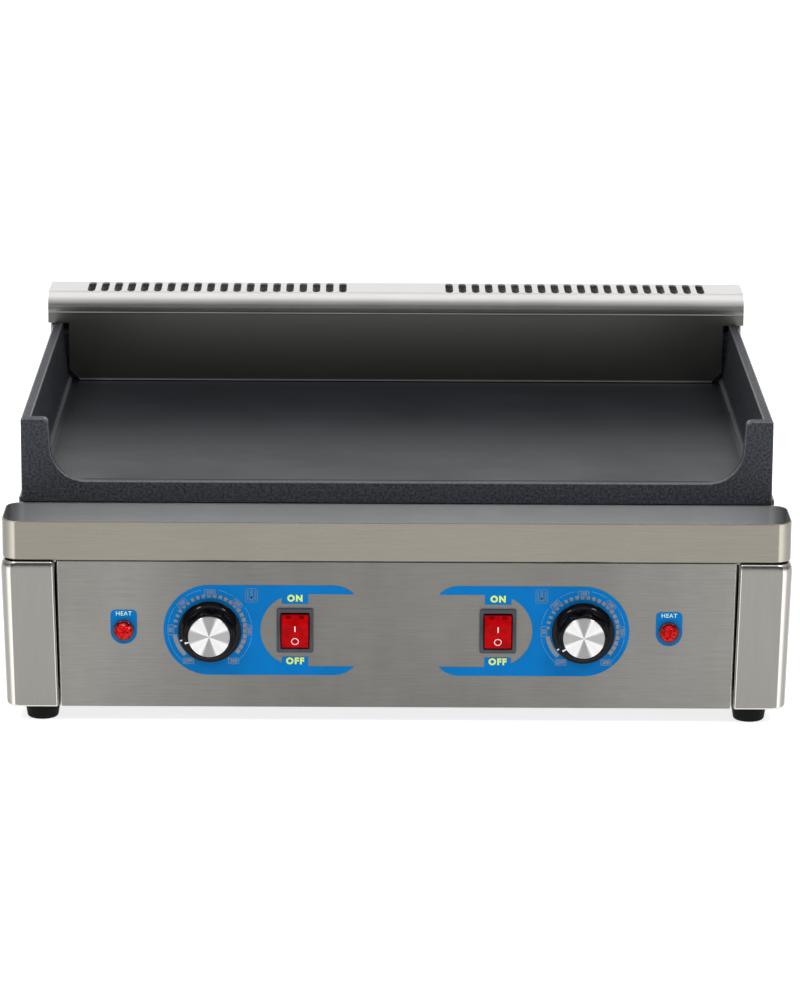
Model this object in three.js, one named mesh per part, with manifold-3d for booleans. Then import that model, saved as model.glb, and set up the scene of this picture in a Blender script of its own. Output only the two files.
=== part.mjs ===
// Flat top griddle: a stainless steel cabinet on four corner posts, a cast-iron cooking plate over
// two heating elements, a slotted flue hood, a sliding grease tray and two sets of controls.
// Millimetres, +Z up, front towards -Y. The origin is on the floor, under the middle of the cabinet.

import * as THREE from 'three';
import { mergeVertices } from 'three/addons/utils/BufferGeometryUtils.js';
import Module from 'manifold-3d';

const wasm = await Module();
wasm.setup();

// ---------- driving dimensions ----------

const SHEET = 1.2; // gauge of the stainless steel sheet
const GAP = 0.3; // between pieces that touch
const HALF_WIDTH = 275; // over the corner posts
const FRONT = -215; // outer face of the front panel
const REAR = 211.5; // outer face of the rear panel
const FOOT_HEIGHT = 12.5;
const DECK = 117.5; // top of the ledge that carries the grease tray
const PLATE_BOTTOM = 147;
const PLATE_FLOOR = 162.2; // cooking surface
const WALL_TOP = 207.2;
const HOOD_TOP = 230.7;

// ---------- sizes that follow from them ----------

const SIDE_OUT = HALF_WIDTH - 8.8; // outer face of the side panels
const SIDE_IN = SIDE_OUT - SHEET;
const LEDGE_HALF = SIDE_IN - GAP;
const RISER = -158.5; // front face of the upright behind the grease tray
const SHELF = PLATE_BOTTOM - GAP; // top of the flanges that carry the plate
const SHELF_BOTTOM = SHELF - SHEET;
const CORNER_FLANGE_EDGE = 238; // how far the side panels' front flanges reach in
const PANEL_HALF = 235.2; // the front panel sits between the posts
const PANEL_BACK = FRONT + SHEET;
const PAN_HALF = 264;
const PAN_FRONT = FRONT + 3;
const PAN_BACK = REAR - 3;
const PAN_HEIGHT = 12;
const PAN_TOP = FOOT_HEIGHT + PAN_HEIGHT;

const PLATE_HALF = 264.1;
const PLATE_FRONT = -164.3;
const PLATE_BACK = 176;
const CAST_WALL = 7;
const FLAT_HALF = PLATE_HALF - 17.5; // half of the floor's width between the walls' rounded feet
const SPLASH_FRONT = 164.2;
const SPLASH_STEP = 0.5; // how much lower the floor is under the splashback's edge
const SPLASH_HALF = 252.2;
const HOOD_HALF = 268.1;
const HOOD_BACK = REAR + 2.5;
const HOOD_SKIRT = WALL_TOP + GAP; // lower edge of the hood's ends and back
const DUCT_TOP = 216;

const CONTROL_Z = 68.1; // height of the knobs, switches and lamps
const KNOB_X = 130;
const SWITCH_X = 70.7;
const LAMP_X = 190;
const LABEL_THICKNESS = 0.4;
const BUSHING_RADIUS = 5;
const SHAFT_RADIUS = 3;
const LAMP_RADIUS = 5.2;
const ROCKER_TILT = 13; // degrees from the switch's middle position to off

const FOOT_X = 248.5;
const FOOT_FRONT_Y = FRONT + 19;
const FOOT_REAR_Y = REAR - 19;
const SCREW_HOLE = 2.4;

const RUNS = [40, 95, 165, 220]; // distances of an element's straight runs from the middle
const ELEMENT_RADIUS = 4;
const ELEMENT_Z = PLATE_BOTTOM - ELEMENT_RADIUS - 0.4;
const ELEMENT_FRONT = -115;
const ELEMENT_REAR = 115;
const TERMINAL_Y = 150;
const BEND = 12; // reach of the bends at an element's ends
const STUD_Y = 10;
const STUD_RADIUS = 4;
const SHIELD_Z = 122;
const MAT_BOTTOM = SHIELD_Z + SHEET + GAP;
const SENSOR_Y = -140; // where the sensor tubes come up through the heat shield

const GLAND_X = -200;
const GLAND_Z = 64;
const GLAND_RADIUS = 7.9;
const HOOD_SCREW_X = 180;
const HOOD_SCREW_Z = 211.8;

// ---------- solids ----------

const point = (x, y) => new THREE.Vector2(x, y);

function signedVolume(positions, triangles) {
  const corner = (k) => new THREE.Vector3().fromArray(positions, 3 * triangles[k]);
  let volume = 0;
  for (let k = 0; k < triangles.length; k += 3) {
    volume += corner(k).dot(corner(k + 1).cross(corner(k + 2)));
  }
  return volume;
}

// A closed geometry as a solid, with its collapsed triangles dropped and its faces turned outwards.
function solidOf(geometry) {
  const bare = geometry.clone();
  bare.deleteAttribute('normal');
  bare.deleteAttribute('uv');
  const merged = mergeVertices(bare);
  const positions = merged.attributes.position.array;
  const kept = [];
  for (let k = 0; k < merged.index.count; k += 3) {
    const [a, b, c] = merged.index.array.slice(k, k + 3);
    if (a !== b && b !== c && c !== a) {
      kept.push(a, b, c);
    }
  }
  if (signedVolume(positions, kept) < 0) {
    kept.reverse();
  }
  const triVerts = new Uint32Array(kept);
  return new wasm.Manifold(new wasm.Mesh({ numProp: 3, vertProperties: positions, triVerts }));
}

// The solid's mesh, with the slivers that booleans leave between flush faces closed up.
function geometryOf(solid) {
  const { vertProperties, triVerts } = solid.asOriginal().simplify(0.002).getMesh();
  const geometry = new THREE.BufferGeometry();
  geometry.setAttribute('position', new THREE.BufferAttribute(vertProperties, 3));
  geometry.setIndex(new THREE.BufferAttribute(triVerts, 1));
  geometry.computeVertexNormals();
  return geometry;
}

const join = (solids) => solids.reduce((whole, solid) => whole.add(solid));
const cut = (solid, tools) => tools.reduce((rest, tool) => rest.subtract(tool), solid);

// A block between two corners, in any order.
function block(x0, x1, y0, y1, z0, z1) {
  const geometry = new THREE.BoxGeometry(Math.abs(x1 - x0), Math.abs(y1 - y0), Math.abs(z1 - z0));
  geometry.translate((x0 + x1) / 2, (y0 + y1) / 2, (z0 + z1) / 2);
  return solidOf(geometry);
}

const outlineShape = (outline) => (outline instanceof THREE.Shape ? outline : new THREE.Shape(outline));

function extrude(outline, depth, segments) {
  const options = { depth, bevelEnabled: false, curveSegments: segments };
  return new THREE.ExtrudeGeometry(outlineShape(outline), options);
}

// An outline in X and Y, raised from z0 to z1.
function prismZ(outline, z0, z1, segments = 6) {
  const geometry = extrude(outline, z1 - z0, segments);
  return solidOf(geometry.translate(0, 0, z0));
}

// An outline in X and Z, drawn from y0 to y1.
function prismY(outline, y0, y1, segments = 6) {
  const geometry = extrude(outline, y1 - y0, segments);
  return solidOf(geometry.rotateX(Math.PI / 2).translate(0, y1, 0));
}

// An outline in Y and Z, drawn from x0 to x1.
function prismX(outline, x0, x1, segments = 6) {
  const geometry = extrude(outline, x1 - x0, segments);
  const turn = new THREE.Matrix4().makeBasis(
    new THREE.Vector3(0, 1, 0),
    new THREE.Vector3(0, 0, 1),
    new THREE.Vector3(1, 0, 0),
  );
  return solidOf(geometry.applyMatrix4(turn).translate(x0, 0, 0));
}

function rodX(y, z, radius, x0, x1, sides) {
  const geometry = new THREE.CylinderGeometry(radius, radius, x1 - x0, sides);
  return solidOf(geometry.rotateZ(Math.PI / 2).translate((x0 + x1) / 2, y, z));
}

function rodY(x, z, radius, y0, y1, sides) {
  const geometry = new THREE.CylinderGeometry(radius, radius, y1 - y0, sides);
  return solidOf(geometry.translate(x, (y0 + y1) / 2, z));
}

function rodZ(x, y, radius, z0, z1, sides) {
  const geometry = new THREE.CylinderGeometry(radius, radius, z1 - z0, sides);
  return solidOf(geometry.rotateX(Math.PI / 2).translate(x, y, (z0 + z1) / 2));
}

// A profile of (radius, height) points turned about +Z, or about the line towards the front.
function turnedUp(profile, sides) {
  return solidOf(new THREE.LatheGeometry(profile, sides).rotateX(Math.PI / 2));
}

function turnedForward(profile, sides) {
  return solidOf(new THREE.LatheGeometry(profile, sides).rotateX(Math.PI));
}

// Points along an arc, angles in degrees.
function arc(x, y, radius, from, to, steps) {
  return Array.from({ length: steps + 1 }, (_, i) => {
    const angle = THREE.MathUtils.degToRad(from + ((to - from) * i) / steps);
    return point(x + radius * Math.cos(angle), y + radius * Math.sin(angle));
  });
}

// The closed outline of a sheet folded along a line, with its thickness to the left of the line.
function foldedSheet(line, thickness = SHEET) {
  const normals = line.slice(1).map((end, i) => {
    const along = end.clone().sub(line[i]).normalize();
    return point(-along.y, along.x);
  });
  const inner = line.map((corner, i) => {
    const before = normals[Math.max(i - 1, 0)];
    const after = normals[Math.min(i, normals.length - 1)];
    const mitre = before.clone().add(after);
    return corner.clone().addScaledVector(mitre, (2 * thickness) / mitre.lengthSq());
  });
  return [...line, ...inner.reverse()];
}

// A solid that changes from one outline to another with as many points.
function taperedPrism(bottom, top, z0, z1) {
  if (THREE.ShapeUtils.isClockWise(bottom)) {
    bottom.reverse();
    top.reverse();
  }
  const count = bottom.length;
  const positions = [];
  bottom.forEach((p) => positions.push(p.x, p.y, z0));
  top.forEach((p) => positions.push(p.x, p.y, z1));
  const index = [];
  THREE.ShapeUtils.triangulateShape(bottom, []).forEach(([a, b, c]) => {
    index.push(c, b, a);
    index.push(a + count, b + count, c + count);
  });
  for (let i = 0; i < count; i += 1) {
    const next = (i + 1) % count;
    index.push(i, next, next + count);
    index.push(i, next + count, i + count);
  }
  const geometry = new THREE.BufferGeometry();
  geometry.setAttribute('position', new THREE.Float32BufferAttribute(positions, 3));
  geometry.setIndex(index);
  return solidOf(geometry);
}

function roundedRectangle(x0, x1, y0, y1, radius) {
  const shape = new THREE.Shape();
  shape.moveTo(x0 + radius, y0);
  shape.absarc(x1 - radius, y0 + radius, radius, -Math.PI / 2, 0);
  shape.absarc(x1 - radius, y1 - radius, radius, 0, Math.PI / 2);
  shape.absarc(x0 + radius, y1 - radius, radius, Math.PI / 2, Math.PI);
  shape.absarc(x0 + radius, y0 + radius, radius, Math.PI, 1.5 * Math.PI);
  return shape;
}

// A round tube drawn along a smooth path.
function tube(path, radius, sides, steps) {
  const section = new THREE.Shape(arc(0, 0, radius, 0, 360 - 360 / sides, sides - 1));
  const options = { steps, bevelEnabled: false, extrudePath: path };
  return solidOf(new THREE.ExtrudeGeometry(section, options));
}

// ---------- materials ----------

const finish = (color, roughness, metalness) => ({ color, roughness, metalness });
const STAINLESS = finish(0x9a9792, 0.35, 1);
const PLATED = finish(0xb4b2ac, 0.3, 1);
const CAST_IRON = finish(0x2c2e32, 0.6, 0.7);
const ALUMINIUM = finish(0xd5d4d0, 0.25, 1);
const BLACK_PLASTIC = finish(0x15161a, 0.3, 0);
const RED_PLASTIC = finish(0xb50812, 0.3, 0);
const PRINT_BLUE = finish(0x0068b4, 0.45, 0);
const RUBBER = finish(0x121212, 0.85, 0);
const CERAMIC = finish(0xe6e0d2, 0.7, 0);
const CERAMIC_FIBRE = finish(0xdedbd0, 0.95, 0);
const ELEMENT_STEEL = finish(0x4d4a47, 0.55, 1);
const COPPER = finish(0xb06a42, 0.4, 1);
const WIRE_SLEEVE = finish(0x8d2f24, 0.8, 0);

const griddle = new THREE.Group();

// A named piece, placed in the griddle or in one of its groups.
function place(name, solid, material, parent = griddle) {
  const mesh = new THREE.Mesh(geometryOf(solid), new THREE.MeshStandardMaterial(material));
  mesh.name = name;
  parent.add(mesh);
}

// ---------- cabinet ----------

// Shallow pan that closes the cabinet from below, with two banks of air slots.
function basePan() {
  const tray = block(-PAN_HALF, PAN_HALF, PAN_FRONT, PAN_BACK, FOOT_HEIGHT, PAN_TOP);
  const hollowHalf = PAN_HALF - SHEET;
  const hollow = block(
    -hollowHalf, hollowHalf, PAN_FRONT + SHEET, PAN_BACK - SHEET, FOOT_HEIGHT + SHEET, PAN_TOP + 1,
  );
  const slots = [];
  for (const x of [-120, 120]) {
    for (let row = -2; row <= 2; row += 1) {
      slots.push(block(x - 45, x + 45, row * 20 - 3, row * 20 + 3, 0, PAN_TOP));
    }
  }
  const holes = [-FOOT_X, FOOT_X].flatMap((x) => [FOOT_FRONT_Y, FOOT_REAR_Y].map(
    (y) => rodZ(x, y, SCREW_HOLE, 0, PAN_TOP, 10),
  ));
  return cut(tray, [hollow, ...slots, ...holes]);
}

// Front sheet with turned-back edges and the cut-outs for the controls.
function frontPanel() {
  const top = DECK - SHEET - GAP;
  const face = block(-PANEL_HALF, PANEL_HALF, FRONT, PANEL_BACK, FOOT_HEIGHT, top);
  const topFlange = block(-PANEL_HALF, PANEL_HALF, FRONT, FRONT + 13, top - SHEET, top);
  const sideFlanges = [-1, 1].map((side) => block(
    side * PANEL_HALF, side * (PANEL_HALF - SHEET), FRONT, FRONT + 12, PAN_TOP + 1, top,
  ));
  const openings = [-1, 1].flatMap((side) => {
    const switchX = side * SWITCH_X;
    return [
      rodY(side * KNOB_X, CONTROL_Z, BUSHING_RADIUS + 0.6, FRONT - 1, PANEL_BACK + 1, 16),
      rodY(side * LAMP_X, CONTROL_Z, LAMP_RADIUS + 0.4, FRONT - 1, PANEL_BACK + 1, 16),
      block(switchX - 11.2, switchX + 11.2, FRONT - 1, PANEL_BACK + 1, CONTROL_Z - 14.2, CONTROL_Z + 14.2),
    ];
  });
  return cut(join([face, topFlange, ...sideFlanges]), openings);
}

// Side sheet, stepped at the front for the tray, with flanges that meet the other panels
// and a flange near its top that carries the cooking plate.
function sidePanel(side) {
  const front = PANEL_BACK + 0.2;
  const back = REAR - SHEET - GAP;
  const rim = PLATE_BOTTOM + 2;
  const step = RISER - GAP;
  const profile = [
    point(front, FOOT_HEIGHT), point(back, FOOT_HEIGHT), point(back, rim),
    point(step, rim), point(step, DECK), point(front, DECK),
  ];
  const skin = prismX(profile, SIDE_IN, SIDE_OUT);
  const frontTop = DECK - SHEET - GAP;
  const frontFlange = block(CORNER_FLANGE_EDGE, SIDE_OUT, front, front + SHEET, FOOT_HEIGHT, frontTop);
  const rearFlange = block(SIDE_IN - 14, SIDE_OUT, back, back - SHEET, FOOT_HEIGHT, SHELF_BOTTOM);
  const shelf = block(SIDE_IN - 13, SIDE_OUT, RISER + 15, PLATE_BACK, SHELF_BOTTOM, SHELF);
  return join([skin, frontFlange, rearFlange, shelf]).scale([side, 1, 1]);
}

// Rear sheet with two banks of air slots and the hole for the cable gland.
function rearPanel() {
  const half = SIDE_OUT - 1;
  const sheet = block(-half, half, REAR - SHEET, REAR, FOOT_HEIGHT, SHELF_BOTTOM);
  const slots = [];
  for (const x of [-80, 80]) {
    for (let row = 0; row < 6; row += 1) {
      const z = 44 + row * 12;
      slots.push(block(x - 40, x + 40, REAR - 2, REAR + 1, z - 2.5, z + 2.5));
    }
  }
  const glandHole = rodY(GLAND_X, GLAND_Z, GLAND_RADIUS + 0.4, REAR - 2, REAR + 1, 16);
  return cut(sheet, [glandHole, ...slots]);
}

// The ledge under the grease tray and the upright behind it, folded from one sheet.
function trayLedge() {
  const line = [
    point(RISER + 13.5, SHELF), point(RISER, SHELF), point(RISER, DECK), point(PANEL_BACK + 0.4, DECK),
  ];
  return prismX(foldedSheet(line), -LEDGE_HALF, LEDGE_HALF);
}

// Plan of a post's shell: a rounded corner with its two free edges turned in to the cabinet.
function postPlan(faceX, faceY, edgeX, edgeY, turnX, turnY, radius) {
  const line = [
    point(turnX, edgeY),
    point(faceX, edgeY),
    ...arc(faceX - radius, faceY + radius, radius, 0, -90, 4),
    point(edgeX, faceY),
    point(edgeX, turnY),
  ];
  return foldedSheet(line, -1.5);
}

// Pressed corner post in the front right position, slimmer at its foot, with a lip around its top.
function cornerPost() {
  const faceY = FRONT - 3.5;
  const edgeY = FRONT + 37;
  const turnX = SIDE_OUT + 0.6;
  const turnY = FRONT - GAP;
  const radius = 10.5;
  const top = postPlan(HALF_WIDTH, faceY, 240.7, edgeY, turnX, turnY, radius);
  const bottom = postPlan(HALF_WIDTH - 3.8, faceY + 1, 238.4, edgeY - 2, turnX, turnY, 9);
  const shell = taperedPrism(bottom, top, FOOT_HEIGHT, DECK - 0.2);
  const inset = 0.4;
  const lipPlan = [
    point(241.2, faceY + inset),
    ...arc(HALF_WIDTH - radius, faceY + radius, radius - inset, -90, 0, 4),
    point(HALF_WIDTH - inset, edgeY - inset),
    point(turnX, edgeY - inset),
    point(turnX, turnY),
    point(241.2, turnY),
  ];
  const lip = prismZ(lipPlan, DECK - 1.4, DECK - 0.2);
  return shell.add(lip);
}

function rubberFoot() {
  const screwRecess = 5.2;
  const profile = [
    point(SCREW_HOLE, 5), point(screwRecess, 5), point(screwRecess, 0), point(10.4, 0),
    point(11.6, 1.4), point(11.85, FOOT_HEIGHT - GAP), point(SCREW_HOLE, FOOT_HEIGHT - GAP),
    point(SCREW_HOLE, 5),
  ];
  return turnedUp(profile, 14);
}

// Slotted screw, its head at the bottom.
function footScrew() {
  const profile = [
    point(0, 1.8), point(3.6, 2.1), point(4.4, 3.2), point(4.4, 4.7), point(2.1, 4.7),
    point(2.1, 20), point(0, 20),
  ];
  return cut(turnedUp(profile, 10), [block(-5, 5, -0.5, 0.5, 0, 2.9)]);
}

// ---------- cooking top ----------

// Cast plate: a thick floor, walls on three sides and an open front edge between two pillars.
function griddlePlate() {
  const flare = 217; // where the front opening's round corners meet its flat edge
  const cornerRadius = 25;
  const rightHalf = [
    point(PLATE_HALF, PLATE_BOTTOM), point(PLATE_HALF, WALL_TOP),
    ...arc(PLATE_HALF - 15.3, WALL_TOP - 4, 4, 90, 180, 3),
    ...arc(flare, PLATE_FLOOR + cornerRadius, cornerRadius, 0, -90, 8),
  ];
  const leftHalf = rightHalf.map((p) => point(-p.x, p.y)).reverse();
  const frontFrame = prismY([...rightHalf, ...leftHalf], PLATE_FRONT, PLATE_FRONT + CAST_WALL);
  const rightWall = [
    point(PLATE_HALF, PLATE_BOTTOM), point(PLATE_HALF, WALL_TOP), point(PLATE_HALF - CAST_WALL, WALL_TOP),
    ...arc(FLAT_HALF, PLATE_FLOOR + 6, 6, 0, -90, 3),
  ];
  const leftWall = rightWall.map((p) => point(-p.x, p.y)).reverse();
  const body = prismY([...rightWall, ...leftWall], PLATE_FRONT + 1, PLATE_BACK);
  const rearWall = block(-PLATE_HALF, PLATE_HALF, PLATE_BACK - CAST_WALL, PLATE_BACK, PLATE_BOTTOM, 200);
  const studs = [-1, 1].map((side) => rodZ(side * KNOB_X, STUD_Y, STUD_RADIUS, 129.5, PLATE_BOTTOM + 1, 12));
  const step = block(
    -FLAT_HALF, FLAT_HALF, SPLASH_FRONT - GAP, PLATE_BACK - CAST_WALL,
    PLATE_FLOOR - SPLASH_STEP, PLATE_FLOOR + 1,
  );
  return cut(join([frontFrame, body, rearWall, ...studs]), [step]);
}

// One row of twenty vent slots over half of the hood.
function hoodSlots(side) {
  const first = 41.2;
  const pitch = 10.23;
  return Array.from({ length: 20 }, (_, i) => {
    const x = side * (first + i * pitch);
    return block(x - 3, x + 3, 173.5, 209, HOOD_TOP - 3, HOOD_TOP + 1);
  });
}

// Splashback and flue hood in one sheet: upright between the walls, then wider, over the flue.
// The splashback's lower corners are clipped to clear the plate's rounded edges.
function rearHood() {
  const bend = 11;
  const clip = 8;
  const foot = PLATE_FLOOR + 0.6;
  const line = [
    point(HOOD_BACK, HOOD_SKIRT),
    ...arc(HOOD_BACK - 3, HOOD_TOP - 3, 3, 0, 90, 2),
    ...arc(SPLASH_FRONT + bend, HOOD_TOP - bend, bend, 90, 180, 5),
    point(SPLASH_FRONT, foot),
  ];
  const sheet = prismX(foldedSheet(line), -HOOD_HALF, HOOD_HALF);
  const below = [-1, 1].map((side) => block(
    side * SPLASH_HALF, side * (HOOD_HALF + 1), SPLASH_FRONT - 1, SPLASH_FRONT + 3, 0, HOOD_SKIRT,
  ));
  const clips = [-1, 1].map((side) => prismY([
    point(side * (SPLASH_HALF - clip - 1), foot - 1),
    point(side * (SPLASH_HALF + 1), foot - 1),
    point(side * (SPLASH_HALF + 1), foot + clip + 1),
  ], SPLASH_FRONT - 1, SPLASH_FRONT + 3));
  const endProfile = [
    point(HOOD_BACK, HOOD_SKIRT),
    ...arc(HOOD_BACK - 3, HOOD_TOP - 3, 3, 0, 90, 2),
    ...arc(SPLASH_FRONT + bend, HOOD_TOP - bend, bend, 90, 180, 5),
    point(SPLASH_FRONT, HOOD_SKIRT),
  ];
  const ends = [-1, 1].map((side) => prismX(endProfile, HOOD_HALF - SHEET, HOOD_HALF).scale([side, 1, 1]));
  const screwHoles = [-HOOD_SCREW_X, HOOD_SCREW_X].map(
    (x) => rodY(x, HOOD_SCREW_Z, SCREW_HOLE, HOOD_BACK - 3, HOOD_BACK + 1, 10),
  );
  return cut(join([sheet, ...ends]), [...below, ...clips, ...hoodSlots(-1), ...hoodSlots(1), ...screwHoles]);
}

// Three-sided flue behind the plate: a back and two cheeks.
function rearDuct() {
  const cheekFront = SPLASH_FRONT + 1.8;
  const plan = foldedSheet([
    point(SIDE_OUT, cheekFront), point(SIDE_OUT, REAR), point(-SIDE_OUT, REAR), point(-SIDE_OUT, cheekFront),
  ]);
  const shell = prismZ(plan, PLATE_BOTTOM + 2 + GAP, DUCT_TOP);
  const screwHoles = [-HOOD_SCREW_X, HOOD_SCREW_X].map(
    (x) => rodY(x, HOOD_SCREW_Z, SCREW_HOLE, REAR - 3, REAR + 1, 10),
  );
  const foot = block(-SIDE_IN + GAP, SIDE_IN - GAP, REAR - SHEET, REAR, SHELF_BOTTOM + GAP, PLATE_BOTTOM + 3);
  return cut(join([shell, foot]), screwHoles);
}

// Slotted screw that holds the hood to the flue, its head to the rear.
function hoodScrew() {
  const profile = [
    point(0, -10), point(1.9, -10), point(1.9, GAP), point(4, GAP), point(4, 1.6), point(3, 2.5),
    point(0, 2.7),
  ];
  const screw = turnedUp(profile, 10).rotate([-90, 0, 0]);
  return cut(screw, [block(-5, 5, 1.6, 4, -0.5, 0.5)]);
}

// Open trough with round corners that slides forward off its ledge.
function greaseTray() {
  const half = HALF_WIDTH - 0.3;
  const front = FRONT - 1.5;
  const back = RISER - 1.5;
  const bottom = DECK + GAP;
  const radius = 13;
  const outer = prismZ(roundedRectangle(-half, half, front, back, radius), bottom, PLATE_BOTTOM - 1, 5);
  const inner = prismZ(
    roundedRectangle(-half + SHEET, half - SHEET, front + SHEET, back - SHEET, radius - SHEET),
    bottom + SHEET, PLATE_BOTTOM, 5,
  );
  return outer.subtract(inner);
}

// ---------- heating ----------

// Tubular element bent into a W under one half of the plate, its ends turned down at the rear.
function heatingElement(side) {
  const path = new THREE.CurvePath();
  const at = (x, y, z) => new THREE.Vector3(side * x, y, z);
  const bendDown = (x, start) => {
    const low = at(x, TERMINAL_Y, 106);
    const knee = [
      at(x, TERMINAL_Y, ELEMENT_Z - BEND), at(x, TERMINAL_Y, ELEMENT_Z), at(x, TERMINAL_Y - BEND, ELEMENT_Z),
    ];
    if (start) {
      return [new THREE.LineCurve3(low, knee[0]), new THREE.QuadraticBezierCurve3(...knee)];
    }
    knee.reverse();
    return [new THREE.QuadraticBezierCurve3(...knee), new THREE.LineCurve3(knee[2], low)];
  };
  const run = (x, from, to) => new THREE.LineCurve3(at(x, from, ELEMENT_Z), at(x, to, ELEMENT_Z));
  const turn = (x0, x1, y, away) => {
    const radius = (x1 - x0) / 2;
    const reach = (4 / 3) * radius * away;
    return new THREE.CubicBezierCurve3(
      at(x0, y, ELEMENT_Z), at(x0, y + reach, ELEMENT_Z), at(x1, y + reach, ELEMENT_Z), at(x1, y, ELEMENT_Z),
    );
  };
  const [a, b, c, d] = RUNS;
  const pieces = [
    ...bendDown(a, true),
    run(a, TERMINAL_Y - BEND, ELEMENT_FRONT),
    turn(a, b, ELEMENT_FRONT, -1),
    run(b, ELEMENT_FRONT, ELEMENT_REAR),
    turn(b, c, ELEMENT_REAR, 1),
    run(c, ELEMENT_REAR, ELEMENT_FRONT),
    turn(c, d, ELEMENT_FRONT, -1),
    run(d, ELEMENT_FRONT, TERMINAL_Y - BEND),
    ...bendDown(d, false),
  ];
  pieces.forEach((piece) => path.add(piece));
  return tube(path, ELEMENT_RADIUS, 6, 62);
}

// Flat bar that presses one element against the plate.
function elementClamp(side) {
  const top = ELEMENT_Z - ELEMENT_RADIUS - 0.4;
  const bar = block(side * 30, side * 230, STUD_Y - 11, STUD_Y + 11, top - 3, top);
  return cut(bar, [rodZ(side * KNOB_X, STUD_Y, STUD_RADIUS + 0.4, top - 4, top + 1, 12)]);
}

function clampNut() {
  const top = ELEMENT_Z - ELEMENT_RADIUS - 3.8;
  const hexagon = rodZ(0, 0, 7.5, top - 4.5, top, 6);
  return cut(hexagon, [rodZ(0, 0, STUD_RADIUS + 0.4, 100, PLATE_BOTTOM, 12)]);
}

// Holes for the element ends and the sensor tubes.
function serviceHoles(z0, z1) {
  return [-1, 1].flatMap((side) => [
    rodZ(side * RUNS[0], TERMINAL_Y, 7, z0, z1, 10),
    rodZ(side * RUNS[3], TERMINAL_Y, 7, z0, z1, 10),
    rodZ(side * KNOB_X, SENSOR_Y, 5, z0, z1, 10),
  ]);
}

// Shallow pan that holds the insulation under the elements.
function heatShield() {
  const half = LEDGE_HALF;
  const front = RISER + 2;
  const back = PLATE_BACK - 6;
  const pan = block(-half, half, front, back, SHIELD_Z, SHIELD_Z + 10);
  const hollow = block(
    -half + SHEET, half - SHEET, front + SHEET, back - SHEET, SHIELD_Z + SHEET, SHIELD_Z + 11,
  );
  return cut(pan, [hollow, ...serviceHoles(SHIELD_Z - 1, SHIELD_Z + 3)]);
}

function insulationMat() {
  const half = LEDGE_HALF - SHEET - 1;
  const mat = block(-half, half, RISER + 4.5, PLATE_BACK - 8.5, MAT_BOTTOM, MAT_BOTTOM + 4);
  return cut(mat, serviceHoles(MAT_BOTTOM - 1, MAT_BOTTOM + 5));
}

// ---------- controls; each is built about its own centre on the panel's face ----------

// Distances in front of the panel's face are negative Y here.
const BEHIND_PANEL = SHEET + 0.4;

function thermostatBody() {
  const back = BEHIND_PANEL + 26;
  const housing = block(-23, 23, BEHIND_PANEL, back, -17, 17);
  const dome = rodY(0, 0, 14, back - 1, back + 4, 16);
  const bushing = rodY(0, 0, BUSHING_RADIUS, -3.2, BEHIND_PANEL + 1, 14);
  const blades = [-12, 12].map((x) => block(x - 0.4, x + 0.4, back - 1, back + 9, 4, 10.3));
  const bore = rodY(0, 0, SHAFT_RADIUS + 0.4, -5, 18, 12);
  return cut(join([housing, dome, bushing, ...blades]), [bore]);
}

function thermostatNut() {
  const hexagon = rodY(0, 0, 8.2, -3, -GAP, 6);
  return cut(hexagon, [rodY(0, 0, BUSHING_RADIUS + 0.3, -4, 1, 14)]);
}

function thermostatShaft() {
  const rod = rodY(0, 0, SHAFT_RADIUS, -14, 17, 12);
  return cut(rod, [block(-4, 4, -15, -5, 1.6, 4)]);
}

// Sensor bulb under the plate with its thin tube down to the thermostat.
function thermostatSensor() {
  const bulbZ = PLATE_BOTTOM - 3.6;
  const bulb = rodY(0, bulbZ, 3, SENSOR_Y + 20, SENSOR_Y + 92, 8);
  const body = FRONT + BEHIND_PANEL + 30 + GAP;
  const path = new THREE.CatmullRomCurve3([
    new THREE.Vector3(0, body, CONTROL_Z + 8),
    new THREE.Vector3(0, body + 10, CONTROL_Z + 8),
    new THREE.Vector3(0, SENSOR_Y - 6, CONTROL_Z + 14),
    new THREE.Vector3(0, SENSOR_Y, CONTROL_Z + 32),
    new THREE.Vector3(0, SENSOR_Y, SHIELD_Z),
    new THREE.Vector3(0, SENSOR_Y + 3, bulbZ - 6),
    new THREE.Vector3(0, SENSOR_Y + 12, bulbZ),
    new THREE.Vector3(0, SENSOR_Y + 21, bulbZ),
  ]);
  return bulb.add(tube(path, 1, 5, 20));
}

// Knob: a dished skirt and a grip with eight shallow scallops, the first ridge along -X.
function knob() {
  const skirt = turnedForward([
    point(0, 4), point(21.6, 4), point(22, 4.5), point(22, 5.4), point(19, 6.6), point(17.4, 9), point(0, 9),
  ], 28);
  const ridges = 8;
  const outline = Array.from({ length: 4 * ridges }, (_, i) => {
    const angle = (2 * Math.PI * i) / (4 * ridges);
    const radius = 16.4 + 0.8 * Math.cos(ridges * angle);
    return point(radius * Math.cos(angle), radius * Math.sin(angle));
  });
  const grip = prismY(outline, -17, -8);
  return cut(skirt.add(grip), [rodY(0, 0, SHAFT_RADIUS + 0.4, -14.6, 0, 12)]);
}

function knobCap() {
  const profile = [point(0, 17.3), point(14.5, 17.3), point(14.5, 18.2), point(14, 18.7), point(0, 18.7)];
  return turnedForward(profile, 28);
}

// Snap-in switch housing: a raised frame in front, a body behind with three blades.
function switchHousing() {
  const frame = prismY(roundedRectangle(-12.75, 12.75, -15.75, 15.75, 1.5), -2.2, -GAP, 2);
  const body = block(-10.9, 10.9, -1, 21, -13.9, 13.9);
  const cavity = block(-9.9, 9.9, -3, 12, -12.95, 12.95);
  const blades = [-8, 0, 8].map((z) => block(-3.1, 3.1, 20, 29, z - 0.4, z + 0.4));
  const pivotHole = rodX(0, 0, 1.8, -10.5, 10.5, 10);
  return cut(join([frame, body, ...blades]), [cavity, pivotHole]);
}

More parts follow.
